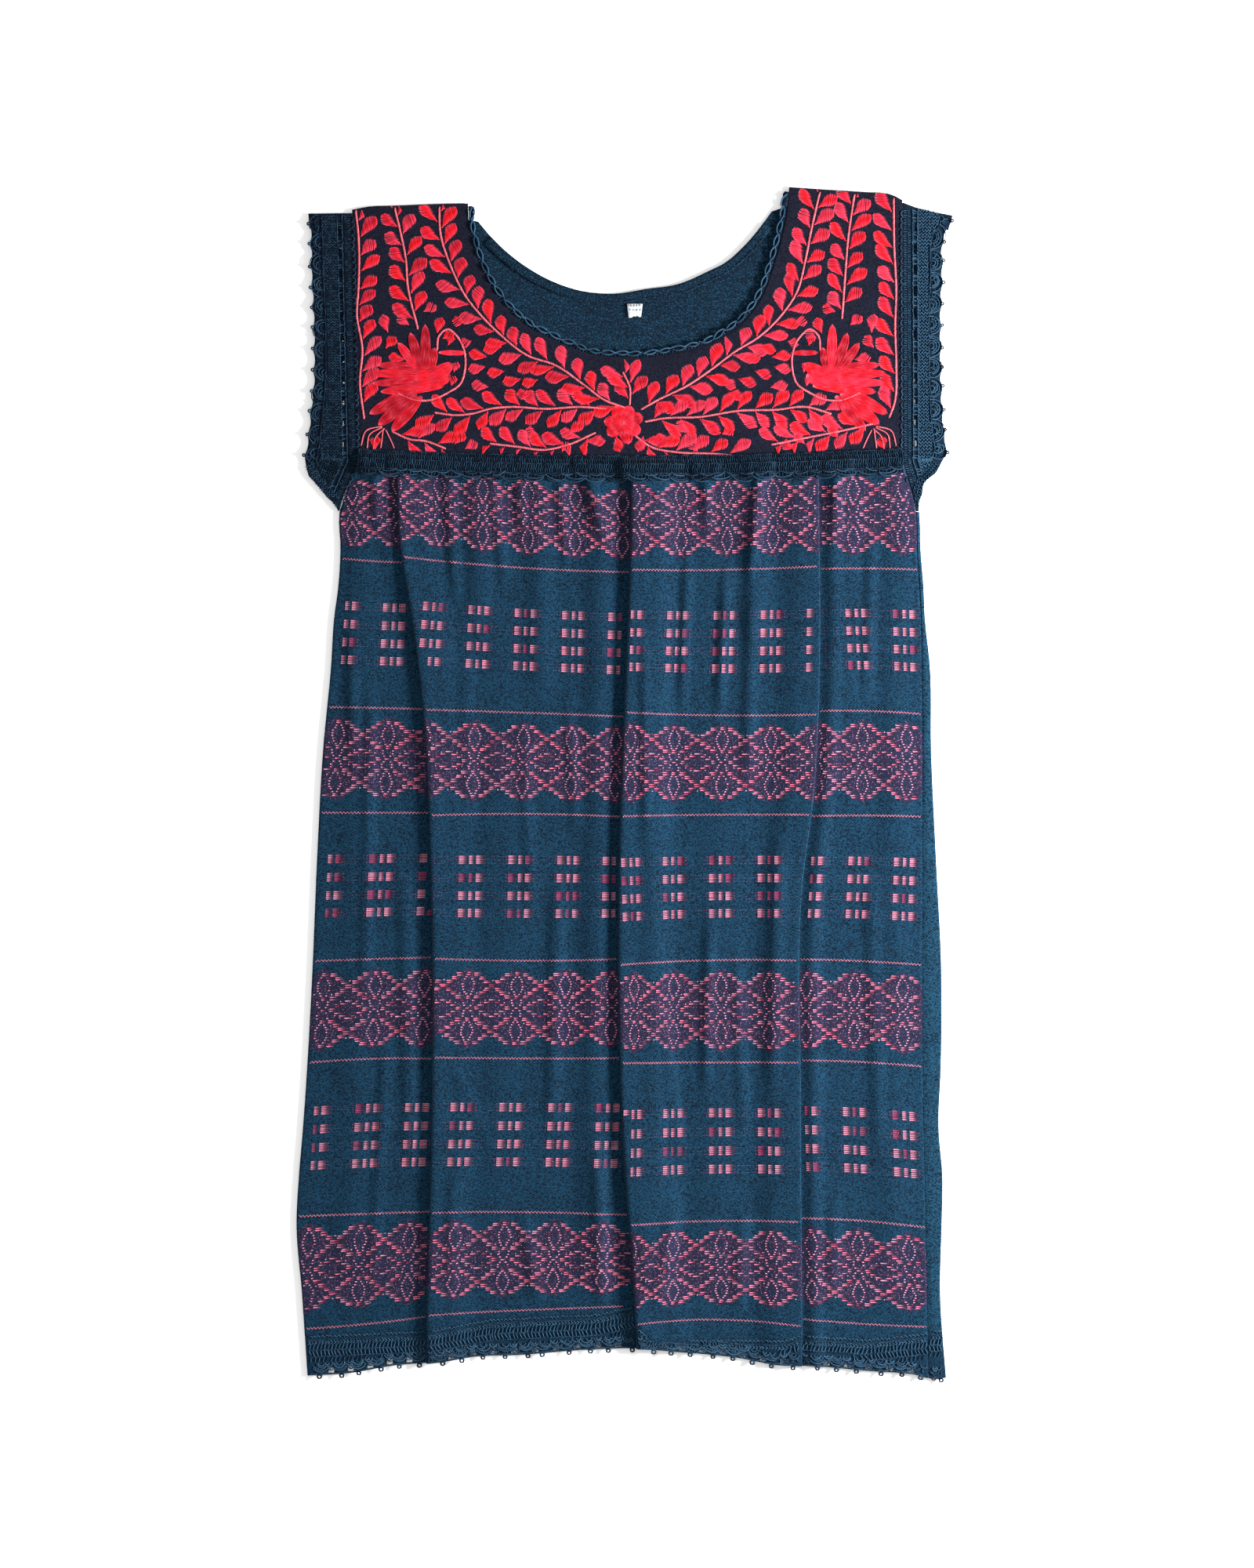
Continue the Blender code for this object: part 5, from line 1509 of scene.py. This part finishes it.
def sleeve_runs(edge, front, sewn_pitch, outer_pitch):
    """Runs of a sleeve beside its sewn edge, its outer edge and its slant."""
    sewn = [
        Run(bow(2.4, 180, 360, 0.9), 5.6, 0.4, 2.8, THREAD, 0.5),
        Run(bar(0.4, 3.2), 1.9, 2.4, 1.0, 0.46, 0.35), Run(vee(1.6, 2.2), 2.2, 5.2, 1.0, 0.46, 0.4),
        Run(bar(2.5, 0.3), 2.2, LADDER_NEAR - 0.4, 1.0, THREAD, 0.6),
        Run(bar(2.5, 0.3), 2.2, LADDER_FAR + 0.2, 1.0, THREAD, 0.6),
    ]
    rung = bar(0.5, LADDER_FAR - LADDER_NEAR + 1.0)
    closed = sewn_pitch * (LADDER_OPEN / SLEEVE_ROWS)
    sewn += [Run(rung, sewn_pitch, (LADDER_NEAR + LADDER_FAR) / 2, closed * share, 0.6, 0.5)
             for share in (0.15, 0.4, 0.65, 0.9)]
    sewn += COLUMN_RUNS[edge]
    fan = outer_pitch * FAN_AT[edge]
    outer = [Run(bow(radius, 0, 180, 1.08, 8), outer_pitch, -FAN_DEPTH, fan, THREAD, tone)
             for radius, tone in ((2.4, 0.5), (4.4, 0.65), (6.4, 0.6), (8.2, 0.75))]
    outer += [Run(spoke(angle, 2.6, 7.9), outer_pitch, -FAN_DEPTH, fan, 0.42, 0.35)
              for angle in range(12, 180, 17)]
    outer.append(Run(bar(2.3, 0.2), 2.2, -FAN_DEPTH - 1.2, 1.0, THREAD, 0.4))
    slant = [Run(vee(1.8, 2.3), 2.4, across, 1.0, 0.5, 0.55) for across in (-1.8, -4.5, -7.2)]
    # Painted light and shade: each sleeve's thread tones are moved lighter or darker by its side.
    sewn, outer, slant = ([run._replace(tone=run.tone + SLEEVE_PAINTED_LIGHT[edge]) for run in runs]
                          for runs in (sewn, outer, slant))
    if front:
        outer.append(Run(bow(1.05, -90, 270, 1.0, 9), outer_pitch, 0.3, fan, 0.75, 0.12))
    return sewn, outer, slant


def sleeve_strip(edge, front, random):
    """One half of a crocheted sleeve. The front half also goes over the shoulder."""
    side = SLEEVE_SIDES[edge]
    table, top = SLEEVE_TABLES[edge]
    tip = table[-1].y
    reach = EDGE_TURN + LACE_WALL / 2
    periods = round((table[0].y - tip) / SLEEVE_PITCH)

    def across(share, y):
        inner = side_x(edge, y) + side * SEAM_GAP
        width = np.maximum(SLEEVE_TIP, side * (sleeve_outer(edge, y, front) - inner))
        return inner + side * width * share

    fold = at(top, "y", across(SLEEVE_ACROSS, table[0].y))
    first = reach if front else SHOULDER_RETURN + SEAM_GAP
    height = FRONT_LAYER if front else FLOOR_LAYER
    drops = shoulder_drops(reach) if front else []
    plain = len(drops)
    rows = [joined(across(SLEEVE_ACROSS, fold - drop), fold - drop, z) for drop, z in drops]
    for level in range(periods * SLEEVE_ROWS + 1):
        y = fold - first - (fold - first - tip) * level / (periods * SLEEVE_ROWS)
        notch = FAN_NOTCH * abs(math.sin(math.pi * (level / SLEEVE_ROWS - FAN_AT[edge])))
        outward = -side * notch * SLEEVE_ACROSS**6
        rows.append(joined(across(SLEEVE_ACROSS, y) + outward, y, height))
    last = plain + SLEEVE_ROWS * int(periods * LADDER_END)

    def slot(row, strip):
        phase = (row - plain) % SLEEVE_ROWS
        return (strip == SLEEVE_SLOT) & (row >= plain) & (row < last) & (phase >= LADDER_OPEN)

    name = "sleeve_" + edge + ("_front" if front else "_back")
    piece = cloth(name + "_lace", name, np.stack(rows), LACE_WALL, SLEEVE_GROUNDS[edge], slot)

    start = float(at(top, "y", across(SEWN_SHARE, table[0].y))) - first
    levels = np.linspace(start, tip, EDGE_POINTS)
    sewn = joined(side_x(edge, levels) + side * SEAM_GAP, levels)
    begin = float(at(top, "y", sleeve_outer(edge, table[0].y, front))) - first
    outer, slant = (joined(sleeve_outer(edge, levels, front), levels) for levels in (
        np.linspace(begin, SLEEVE_SLANT, EDGE_POINTS), np.linspace(SLEEVE_SLANT, tip, SLANT_POINTS)))
    runs = sleeve_runs(edge, front, path_length(sewn) / periods, (begin - tip) / periods)

    def narrow(x, y):
        room = side * (sleeve_outer(edge, y, front) - x)
        return (room > FAN_DEPTH + FAN_GAP) & (y < start + SEWN_OVER) & (y > tip + SEWN_TIP)

    def inside(x, y):
        beyond = side * (x - sleeve_outer(edge, y, front))
        level = (y < at(top, "y", x) - first + FAN_GAP) & (y > tip + OUTER_TIP)
        return (side * (x - side_x(edge, y)) > OUTER_SEAM) & level & (beyond < OUTER_BEYOND)

    lift = flat_at(height + LACE_WALL / 2)
    bundles = stitches_on(sewn, runs[0], side, lift, random, narrow)
    bundles += stitches_on(outer, runs[1], side, lift, random, inside)
    bundles += stitches_on(slant, runs[2], side, lift, random, inside)
    if not front:
        bundles = pressed(bundles, height + LACE_WALL / 2, BACK_THREAD)
    threads = thread_mesh(name + "_thread", bundles)


# Band over the seam between yoke and skirt.
BAND_DEPTH = 19.0
BAND_SCALLOP = 1.2
BAND_STEPS = 156
BAND_REACH = 8
BAND_INSET = 0.5
BAND_SHARES = [0.0, 0.2, 0.375, 0.6, 0.8, 1.0]
BAND_LOBE = 16.9
BAND_DIM = 0.16


def skirt_top_height(x, y):
    """Height of the uppermost layer of the skirt front at places."""
    height = FRONT_LAYER + 0.0 * x
    for panel in PANELS:
        left, right = panel_span(panel, y)
        reach = WALL / 2 + PLEAT_TURN
        over = (left - reach <= x) & (x <= right + reach)
        height = np.where(over, np.maximum(height, panel_height(panel, np.clip(x, left, right), y)), height)
    return height


BAND_CLEARANCE = WALL / 2 + SEAM_GAP + LACE_WALL / 2


def band_height(x):
    """Height of the yoke band, clear of every fold of the skirt under it."""
    heights = [skirt_top_height(x + step, seam_y(x)) for step in range(-BAND_REACH, BAND_REACH + 1)]
    return np.max(heights, axis=0) + BAND_CLEARANCE


def yoke_band(random):
    """Crocheted band over the seam, with shallow lobes of thread below it."""
    left = side_x("left", TRIM_SIDE_Y) + BAND_INSET
    right = side_x("right", TRIM_SIDE_Y) - BAND_INSET
    x = np.linspace(left, right, BAND_STEPS + 1)
    seam = seam_y(x)
    over = band_height(x)
    rows = []
    for share in BAND_SHARES:
        rise = smooth(share / BAND_SHARES[2])
        height = (FRONT_LAYER + BAND_CLEARANCE) * (1 - rise) + over * rise
        scallop = BAND_SCALLOP * np.cos(2 * math.pi * (x - left) / BAND_LOBE) * share**4
        rows.append(joined(x, seam + BAND_DEPTH * (0.5 - share) - scallop, height))
    piece = cloth("yoke_band_lace", "yoke_band", np.stack(rows), LACE_WALL, BAND_GROUND)

    def lift(px, py):
        share = np.clip((np.interp(px, x, seam) - py) / BAND_DEPTH + 0.5, 0.0, 1.0)
        rise = smooth(share / BAND_SHARES[2])
        top = np.interp(px, x, over)
        return (FRONT_LAYER + BAND_CLEARANCE) * (1 - rise) + top * rise + LACE_WALL / 2

    path = joined(x, seam + BAND_DEPTH / 2)[::3]
    runs = [
        Run(bow(1.5, 0, 180, 0.8), 3.1, -0.6, 1.6, 0.42, 0.35),
        Run(bar(0.5, 3.2), 1.75, -1.4, 0.8, 0.44, 0.3),
        Run(bar(-0.6, 3.6), 1.9, -4.6, 1.0, 0.46, 0.5), Run(bar(2.2, 0.3), 2.0, -6.6, 1.0, 0.46, 0.3),
        Run(bar(0.6, 3.6), 1.9, -8.7, 1.2, 0.46, 0.55), Run(bar(-0.5, 3.4), 1.9, -12.1, 0.6, 0.46, 0.45),
        Run(bar(2.6, 0.3), 2.3, -14.2, 1.0, 0.5, 0.3),
        Run(bow(5.6, 200, 340, 0.45), 11.2, -13.6, 3.0, 0.55, 0.6),
        Run(bow(8.0, 200, 340, 0.42, 8), BAND_LOBE, -15.6, BAND_LOBE / 2, 0.62, 0.6),
        Run(bow(8.3, 196, 344, 0.5, 8), BAND_LOBE, -17.0, BAND_LOBE / 2, 0.62, 0.5),
        Run(bar(0.3, 3.0), 2.8, -17.0, 1.4, 0.44, 0.35),
    ]
    runs = [run._replace(tone=run.tone - BAND_DIM) for run in runs]
    threads = thread_mesh("yoke_band_thread", stitches_on(path, runs, 1, lift, random))


# Hem trims. Windows and picots repeat along the outer edge.
HEM_PITCH = 17.4
WINDOW_SHARE = 0.3
WINDOW_DEPTH = 4.4
WINDOW_BAR = 1.3
HEM_PICOT_AT = 0.65
HEM_CUTS = (0.45, 0.82)
HEM_LEVELS = 6


def trim_edge_y(x):
    """Lower edge of the crocheted hem, without its picots."""
    return at(TRIM_EDGE, "y", x)


def trim_rows(y_top, y_edge):
    """Heights of the hem crochet's rows, down to the window and the edge."""
    foot = y_edge + WINDOW_BAR
    head = foot + WINDOW_DEPTH
    upper = [y_top + (head - y_top) * k / HEM_LEVELS for k in range(HEM_LEVELS + 1)]
    return np.array(upper + [foot, y_edge])


def trim_spots(width):
    """Shares of a stretch of hem crochet, and which of them start a window."""
    periods = max(1, round(width / HEM_PITCH))
    cuts = [0.0, WINDOW_SHARE / 2, WINDOW_SHARE, HEM_CUTS[0], HEM_PICOT_AT, HEM_CUTS[1]]
    spots = [(period + cut) / periods for period in range(periods) for cut in cuts] + [1.0]
    open_spots = [spots[period * len(cuts) + k] for period in range(1, periods) for k in (0, 1)]
    return spots, open_spots, periods


def hem_runs(pitch, netted):
    """Runs of the hem crochet below its sewn edge, and beside its outer edge.

    Threads cross every window, and where it is netted they almost close it.
    """
    sewn = [
        Run(bow(1.5, 20, 160, 1.3), 3.3, -1.6, 1.6, THREAD, 0.9),
        Run(bar(2.4, 0.3), 2.3, -3.2, 1.0, 0.5, 0.4),
        Run(vee(1.6, 2.2), 2.6, -5.2, 1.0, 0.52, 0.8),
        Run(bar(1.3, 4.4), 3.0, -8.6, 1.5, 0.6, 1.0), Run(bar(2.4, 0.3), 2.4, -11.2, 1.0, 0.5, 0.45),
        Run(bar(-1.4, 4.6), 3.0, -13.8, 1.0, 0.6, 1.0), Run(bar(2.6, 0.3), 2.5, -16.4, 1.0, 0.5, 0.45),
        Run(bar(1.2, 4.0), 3.4, -18.8, 1.8, 0.5, 0.5),
    ]
    window = pitch * WINDOW_SHARE / 2
    outer = [Run(bow(radius, 180, 360, 1.0, 9), pitch, 9.8, window, 0.6, tone)
             for radius, tone in ((1.7, 0.9), (3.1, 1.0))]
    outer += [Run(bow(radius, 180, 360, 1.0, 9), pitch, 6.1, window, 0.5, 0.3) for radius in (1.5, 2.7)]
    if netted:
        outer += [Run(spoke(angle, 0.2, 5.2), pitch, 6.1, window, 0.45, 0.4) for angle in range(196, 350, 18)]
        outer.append(Run(bow(3.9, 186, 354, 1.0, 9), pitch, 6.1, window, 0.5, 0.45))
    outer += [Run(bow(radius, 180 + skip, 360 - skip, 1.0, 9), pitch, 9.8, window + pitch / 2, 0.6, tone)
              for radius, tone, skip in ((2.6, 0.6, 0), (4.2, 0.8, 0), (5.8, 0.6, 12), (7.4, 0.8, 28))]
    outer += [Run(spoke(angle, 3.2, 7.0), pitch, 9.8, window + pitch / 2, 0.42, 0.6)
              for angle in range(206, 336, 16)]
    outer += [
        Run(bar(2.6, 0.3), 2.4, 1.0, 1.0, 0.55, 0.45),
        Run(bow(1.6, -90, 270, 1.0, 8), pitch, -1.3, pitch * HEM_PICOT_AT, 0.95, 0.12),
    ]
    return sewn, outer


SHALLOW_RUNS = [
    Run(vee(1.6, 2.0), 2.3, 2.8, 1.0, 0.5, 0.55), Run(bar(1.2, 2.4), 2.6, 5.2, 1.2, THREAD, 0.6),
    Run(bar(2.3, 0.3), 2.3, 7.0, 1.0, 0.5, 0.5), Run(bar(-1.2, 2.8), 2.6, 9.0, 1.0, THREAD, 0.6),
    Run(bar(2.3, 0.3), 2.3, 11.2, 1.0, 0.5, 0.5),
]
SHALLOW_DEPTH = 15.0
SHALLOW_TOP = 0.6
FAN_HEIGHT = 8.5
FAN_TOP = 1.5
LACE_SIDE = 0.3
STRIP_OVER = 0.5
TRIM_STEPS = 23
BACK_LACE_END = 252


def hem_lace_front(random):
    """Crocheted hem of the front, which follows every fold of the cloth above it."""
    spots, opens, periods = {}, {}, {}
    for panel in PANELS:
        left, right = panel_span(panel, BACK_HEM_Y)
        spots[panel], opens[panel], periods[panel] = trim_spots(right - left)
    stations = front_stations(spots)
    columns = []
    windows = np.zeros(len(stations), dtype=bool)
    for c, station in enumerate(stations):
        edge = float(trim_edge_y(front_point(station, TRIM_LOW)[0]))
        y = trim_rows(station_hem(station) - SEAM_GAP, edge)
        x, z = front_point(station, y)
        columns.append(joined(x, y, z))
        windows[c] = station.part == "panel" and station.t in opens[station.place]
    piece = cloth("hem_front_lace", "hem_lace_front", np.stack(columns, axis=1), LACE_WALL, HEM_GROUND,
                  lambda r, c: (r == HEM_LEVELS) & windows[c])
    bundles = []
    for panel in PANELS:
        t = evenly(TRIM_STEPS)
        x = front_point(Station("panel", panel, t), TRIM_LOW)[0]
        sewn = joined(x, panel_hem(panel, t) - SEAM_GAP)
        outer = joined(x, trim_edge_y(x))
        runs = hem_runs(path_length(outer) / periods[panel], panel != "left")

        def lift(px, py):
            return panel_height(panel, px, py) + LACE_WALL / 2

        def within(px, py):
            left, right = panel_span(panel, py)
            return (px > left + LACE_SIDE) & (px < right - LACE_SIDE)

        def upper(px, py):
            return within(px, py) & (py > trim_edge_y(px) + FAN_HEIGHT)

        def lower(px, py):
            return within(px, py) & (py < np.interp(px, *sewn.T) - FAN_TOP)

        def shallow(px, py):
            top = np.interp(px, *sewn.T)
            return within(px, py) & (py < top - SHALLOW_TOP) & (top - trim_edge_y(px) < SHALLOW_DEPTH)

        bundles += stitches_on(outer, SHALLOW_RUNS, 1, lift, random, shallow)
        bundles += stitches_on(sewn, runs[0], 1, lift, random, upper)
        bundles += stitches_on(outer, runs[1], 1, lift, random, lower)
    threads = thread_mesh("hem_front_thread", bundles)


def hem_lace_back(random):
    """Crocheted hem of the back, round the right edge to the side seam."""
    width = float(back_right(BACK_HEM_Y) - back_left(BACK_HEM_Y))
    spots, opens, periods = trim_spots(width)
    y_top = BACK_HEM_Y - SEAM_GAP
    columns = []
    edges = []
    for t in spots:
        x_low = float(back_across(TRIM_LOW, t))
        lift = BACK_TRIM_LIFT * float(smooth((1.0 - t) / BACK_TRIM_EASE))
        edge = float(trim_edge_y(x_low)) + lift
        y = trim_rows(y_top, edge)
        columns.append(joined(back_across(y, t), y, FLOOR_LAYER))
        edges.append((x_low, edge))
    for part, t in WRAP:
        x_low = wrap_point(part, t, TRIM_LOW)[0]
        y = trim_rows(y_top, float(trim_edge_y(x_low)))
        x, z = wrap_point(part, t, y)
        columns.append(joined(x, y, z))
    window = np.zeros(len(columns), dtype=bool)
    window[:len(spots)] = [t in opens for t in spots]
    piece = cloth("hem_back_lace", "hem_lace_back", np.stack(columns, axis=1), LACE_WALL, HEM_GROUND,
                  lambda r, c: (r == HEM_LEVELS) & window[c])
    edges = np.array(edges)
    sewn = joined(edges[:, 0], y_top)[::4]
    runs = hem_runs(path_length(edges) / periods, False)
    under = FLOOR_LAYER + LACE_WALL / 2

    def upper(x, y):
        return (y > np.interp(x, *edges.T) + FAN_HEIGHT) & (x < BACK_LACE_END)

    def lower(x, y):
        return (y < y_top - FAN_TOP) & (x < BACK_LACE_END)

    bundles = stitches_on(sewn, runs[0], 1, flat_at(under), random, upper)
    bundles += stitches_on(edges[::3], runs[1], 1, flat_at(under), random, lower)
    bundles = pressed(bundles, under, BACK_HEM_THREAD)
    right, left = (wrap_point("strip", t, TRIM_LOW)[0] for t in (0.0, 1.0))
    strip = joined(np.linspace(left, right, 6), y_top)
    low = joined(strip[:, 0], trim_edge_y(strip[:, 0]))
    top = FRONT_LAYER + LACE_WALL / 2

    def strip_upper(x, y):
        return (y > trim_edge_y(x) + FAN_HEIGHT) & (x > left + LACE_SIDE) & (x < right + STRIP_OVER)

    def strip_lower(x, y):
        return (y < y_top - FAN_TOP) & (x > left + LACE_SIDE) & (x < right + 2 * STRIP_OVER)

    bundles += stitches_on(strip, runs[0], 1, flat_at(top), random, strip_upper)
    bundles += stitches_on(low, runs[1], 1, flat_at(top), random, strip_lower)
    threads = thread_mesh("hem_back_thread", bundles)


# Neck: crocheted chain on the front, turned hem and blank label on the back.
EDGING_LOOP = 1.4
EDGING_STEPS = 168
CHAIN_PITCH = 11.6
CHAIN_SWING = 1.75
CHAIN_RISE = 0.3
CHAIN_POINTS = 9
FACING_WIDTH = 8.0
FACING_WALL = 1.0
FACING_ENDS = (0.06, 0.96)
FACING_STEPS = 60
FACING_SHARES = (0.0, 0.35, 0.7, 1.0)
FACING_HEIGHT = WALL + SEAM_GAP + FACING_WALL / 2
LABEL_WIDTH = 12.6
LABEL_HEIGHT = 11.4
LABEL_X = 6.4
LABEL_TOP = 391.6
LABEL_SEAM = 1.2
LABEL_CURL = 0.25
LABEL_TAPERS = (0.18, 0.2)
LABEL_LOW = [(-1.0, 1.0), (-0.55, 0.98), (-0.2, 0.87), (0.1, 0.9), (0.4, 0.86), (0.75, 0.95), (1.0, 0.9)]


def neck_edging(random):
    """Crocheted chain along the front neckline."""
    share = evenly(EDGING_STEPS)
    length = path_length(FRONT_NECK)
    wave = 0.5 + 0.5 * np.cos(2 * math.pi * share * length / CHAIN_PITCH * 2)
    rows = []
    for across in (-EDGING_WIDTH / 2, 0.0, EDGING_WIDTH / 2):
        outward = across - EDGING_LOOP * wave * (across > 0)
        rows.append(joined(*beside(FRONT_NECK, share, outward).T, FRONT_LAYER))
    piece = cloth("neck_chain_base", "neck_edging", np.stack(rows), LACE_WALL, LACE_GROUND)
    top = FRONT_LAYER + LACE_WALL / 2
    half = CHAIN_PITCH / 2
    strand = np.linspace(-half, half, CHAIN_POINTS)
    rise = BENT_RISE + CHAIN_RISE * np.cos(2 * math.pi * strand / CHAIN_PITCH)
    runs = [Run(bar(0.4, 1.6), 2.6, -1.7, 1.0, 0.45, 0.3)]
    for sign, tone in ((1, 0.95), (-1, 0.6)):
        swing = sign * CHAIN_SWING * np.cos(math.pi * strand / CHAIN_PITCH)
        shape = joined(strand, swing, rise + CHAIN_RISE * sign * np.sin(math.pi * strand / half))
        runs.append(Run(shape, CHAIN_PITCH, 0.5, half, 0.82, tone))
    bundles = stitches_on(np.array(FRONT_NECK), runs, 1, flat_at(top), random)
    threads = thread_mesh("neck_chain_thread", bundles)
    return [piece, threads]


def neck_facing(random):
    """Turned hem on the inside of the back neckline, with the row of stitches that holds it."""
    first, last = FACING_ENDS
    share = np.linspace(first, last, FACING_STEPS + 1)
    rows = [joined(*beside(BACK_NECK, share, -FACING_WIDTH * across).T, FACING_HEIGHT)
            for across in FACING_SHARES]
    piece = cloth("neck_facing_cloth", "neck_facing", np.stack(rows), FACING_WALL, PLAIN)
    path = np.array(BACK_NECK)
    top = FACING_HEIGHT + FACING_WALL / 2
    stitch = bar(2.1, 0.1, 0.15)
    start = path_length(path) * first + 2.0
    runs = [Run(stitch, 3.0, across, start, radius, 0.0)
            for across, radius in ((-FACING_WIDTH + 0.7, 0.42), (-1.5, 0.3))]
    ends = path_at(path, np.array(FACING_ENDS))[:, 0]
    bundles = stitches_on(path, runs, 1, flat_at(top), random,
                          lambda x, y: (x > ends[0] + 1.0) & (x < ends[1] - 1.0))
    threads = thread_mesh("neck_facing_thread", bundles)
    return [piece, threads]


def neck_label(random):
    """Small blank label sewn below the back neck hem, with a torn lower edge."""
    half = LABEL_WIDTH / 2
    levels = evenly(4)[:, None]
    across, down = np.array(LABEL_LOW).T
    curl = LABEL_CURL * levels * np.abs(across)
    inward = levels * np.where(across < 0, LABEL_TAPERS[0], LABEL_TAPERS[1])
    rows = joined(LABEL_X + half * across * (1.0 - inward), LABEL_TOP - LABEL_HEIGHT * down * levels,
                  FACING_HEIGHT + curl)
    piece = cloth("neck_label_cloth", "neck_label", rows, FACING_WALL, LABEL)
    path = joined(LABEL_X + half * np.array([-1, 0, 1]), LABEL_TOP - LABEL_SEAM)
    runs = [Run(bar(0.3, 1.6, 0.2), 2.4, 0.0, 1.0, 0.28, 0.0),
            Run(bar(1.2, 1.0, 0.2), 2.9, -3.6, 2.2, 0.25, 0.1)]
    top = FACING_HEIGHT + FACING_WALL / 2
    bundles = stitches_on(path, runs, 1, flat_at(top), random)
    threads = thread_mesh("neck_label_thread", bundles)
    return [piece, threads]


# Floor, light and camera.
CAMERA_HEIGHT = 3.0222
LENS = 85.0
SENSOR = 36.0
FAR_CLIP = 50.0
WHITE = (1.0, 1.0, 1.0, 1.0)
FLOOR_SIZE = 12.0
FLOOR_Z = -0.0004
FLOOR_COLOUR = (0.97, 0.97, 0.97, 1.0)
WORLD_STRENGTH = 0.6
Lamp = namedtuple("Lamp", "name place size power")
LAMPS = [Lamp("key", (1.5, 0.04, 0.66), 0.5, 132.0), Lamp("fill", (-0.4, 0.0, 3.4), 2.0, 40.0)]


def studio():
    """Pale floor, soft light from above and the camera looking straight down."""
    scene = bpy.context.scene
    scene.view_settings.view_transform = "Standard"
    scene.view_settings.look = "None"
    lens = bpy.data.cameras.new("camera")
    lens.lens = LENS
    lens.sensor_width = SENSOR
    lens.clip_end = FAR_CLIP
    scene.camera = placed("camera", lens)
    scene.camera.location = (0.0, 0.0, CAMERA_HEIGHT)

    half = FLOOR_SIZE / 2
    mesh = bpy.data.meshes.new("floor")
    corners = [(-half, -half, 0), (half, -half, 0), (half, half, 0), (-half, half, 0)]
    mesh.from_pydata(corners, [], [(0, 1, 2, 3)])
    floor = placed("floor", mesh)
    floor.location.z = FLOOR_Z
    paper = surface("floor_paper", 0.9)
    paper[2].inputs["Base Color"].default_value = FLOOR_COLOUR
    mesh.materials.append(paper[0])

    world = bpy.data.worlds.new("studio")
    world.use_nodes = True
    background = world.node_tree.nodes["Background"].inputs
    background["Color"].default_value = WHITE
    background["Strength"].default_value = WORLD_STRENGTH
    scene.world = world
    for row in LAMPS:
        lamp = bpy.data.lights.new(row.name, "AREA")
        lamp.shape = "DISK"
        lamp.size = row.size
        lamp.energy = row.power
        light = placed(row.name, lamp)
        light.location = row.place
        light.rotation_mode = "QUATERNION"
        light.rotation_quaternion = (-light.location).to_track_quat("-Z", "Y")


PLAIN = cloth_material("plain_twill", colour(30, 78, 106), colour(4, 22, 39), False, NECK_PAINTED_SHADE)
BROCADED = cloth_material("brocaded_twill", colour(21, 66, 94), colour(3, 20, 37), True)
YOKE_CLOTH = cloth_material("yoke_cotton", colour(27, 30, 50), colour(8, 9, 22), False)
WEFT = thread_material("weft_floats", 0.7, 0.04, 1500.0, 0.3)
SILK = thread_material("satin_thread", 0.5, 0.03, 1800.0, 0.25)
THREAD_SILK = thread_material("crochet_thread", 0.75, 0.04, 1800.0, 0.3)
LACE_GROUND = plain_material("crochet_ground", (6, 32, 53), (2, 13, 27))
HEM_GROUND = plain_material("hem_ground", (18, 56, 82), (4, 26, 44))
BAND_GROUND = plain_material("band_ground", (11, 38, 60), (3, 17, 32))
# Painted light: the right sleeve's ground is a lighter copy of the crochet ground that the left sleeve has,
# for light from the right.
RIGHT_SLEEVE_LIT_GROUND = plain_material("right_sleeve_painted_light_ground", (12, 42, 65), (3, 18, 34))
SLEEVE_GROUNDS = {"left": LACE_GROUND, "right": RIGHT_SLEEVE_LIT_GROUND}
LABEL = plain_material("label_tape", (244, 246, 248), (206, 212, 218))

randomness = np.random.default_rng(SEED)
studio()
back = back_panel()
skirt = skirt_front()
yoke = yoke_front()
wefts = [brocade(panel, randomness) for panel in PANELS]
stitches = embroidery(randomness)
hem_lace_back(randomness)
hem_lace_front(randomness)
for edge in ("left", "right"):
    sleeve_strip(edge, False, randomness)
    sleeve_strip(edge, True, randomness)
yoke_band(randomness)
edging = neck_edging(randomness)
inside = neck_facing(randomness) + neck_label(randomness)
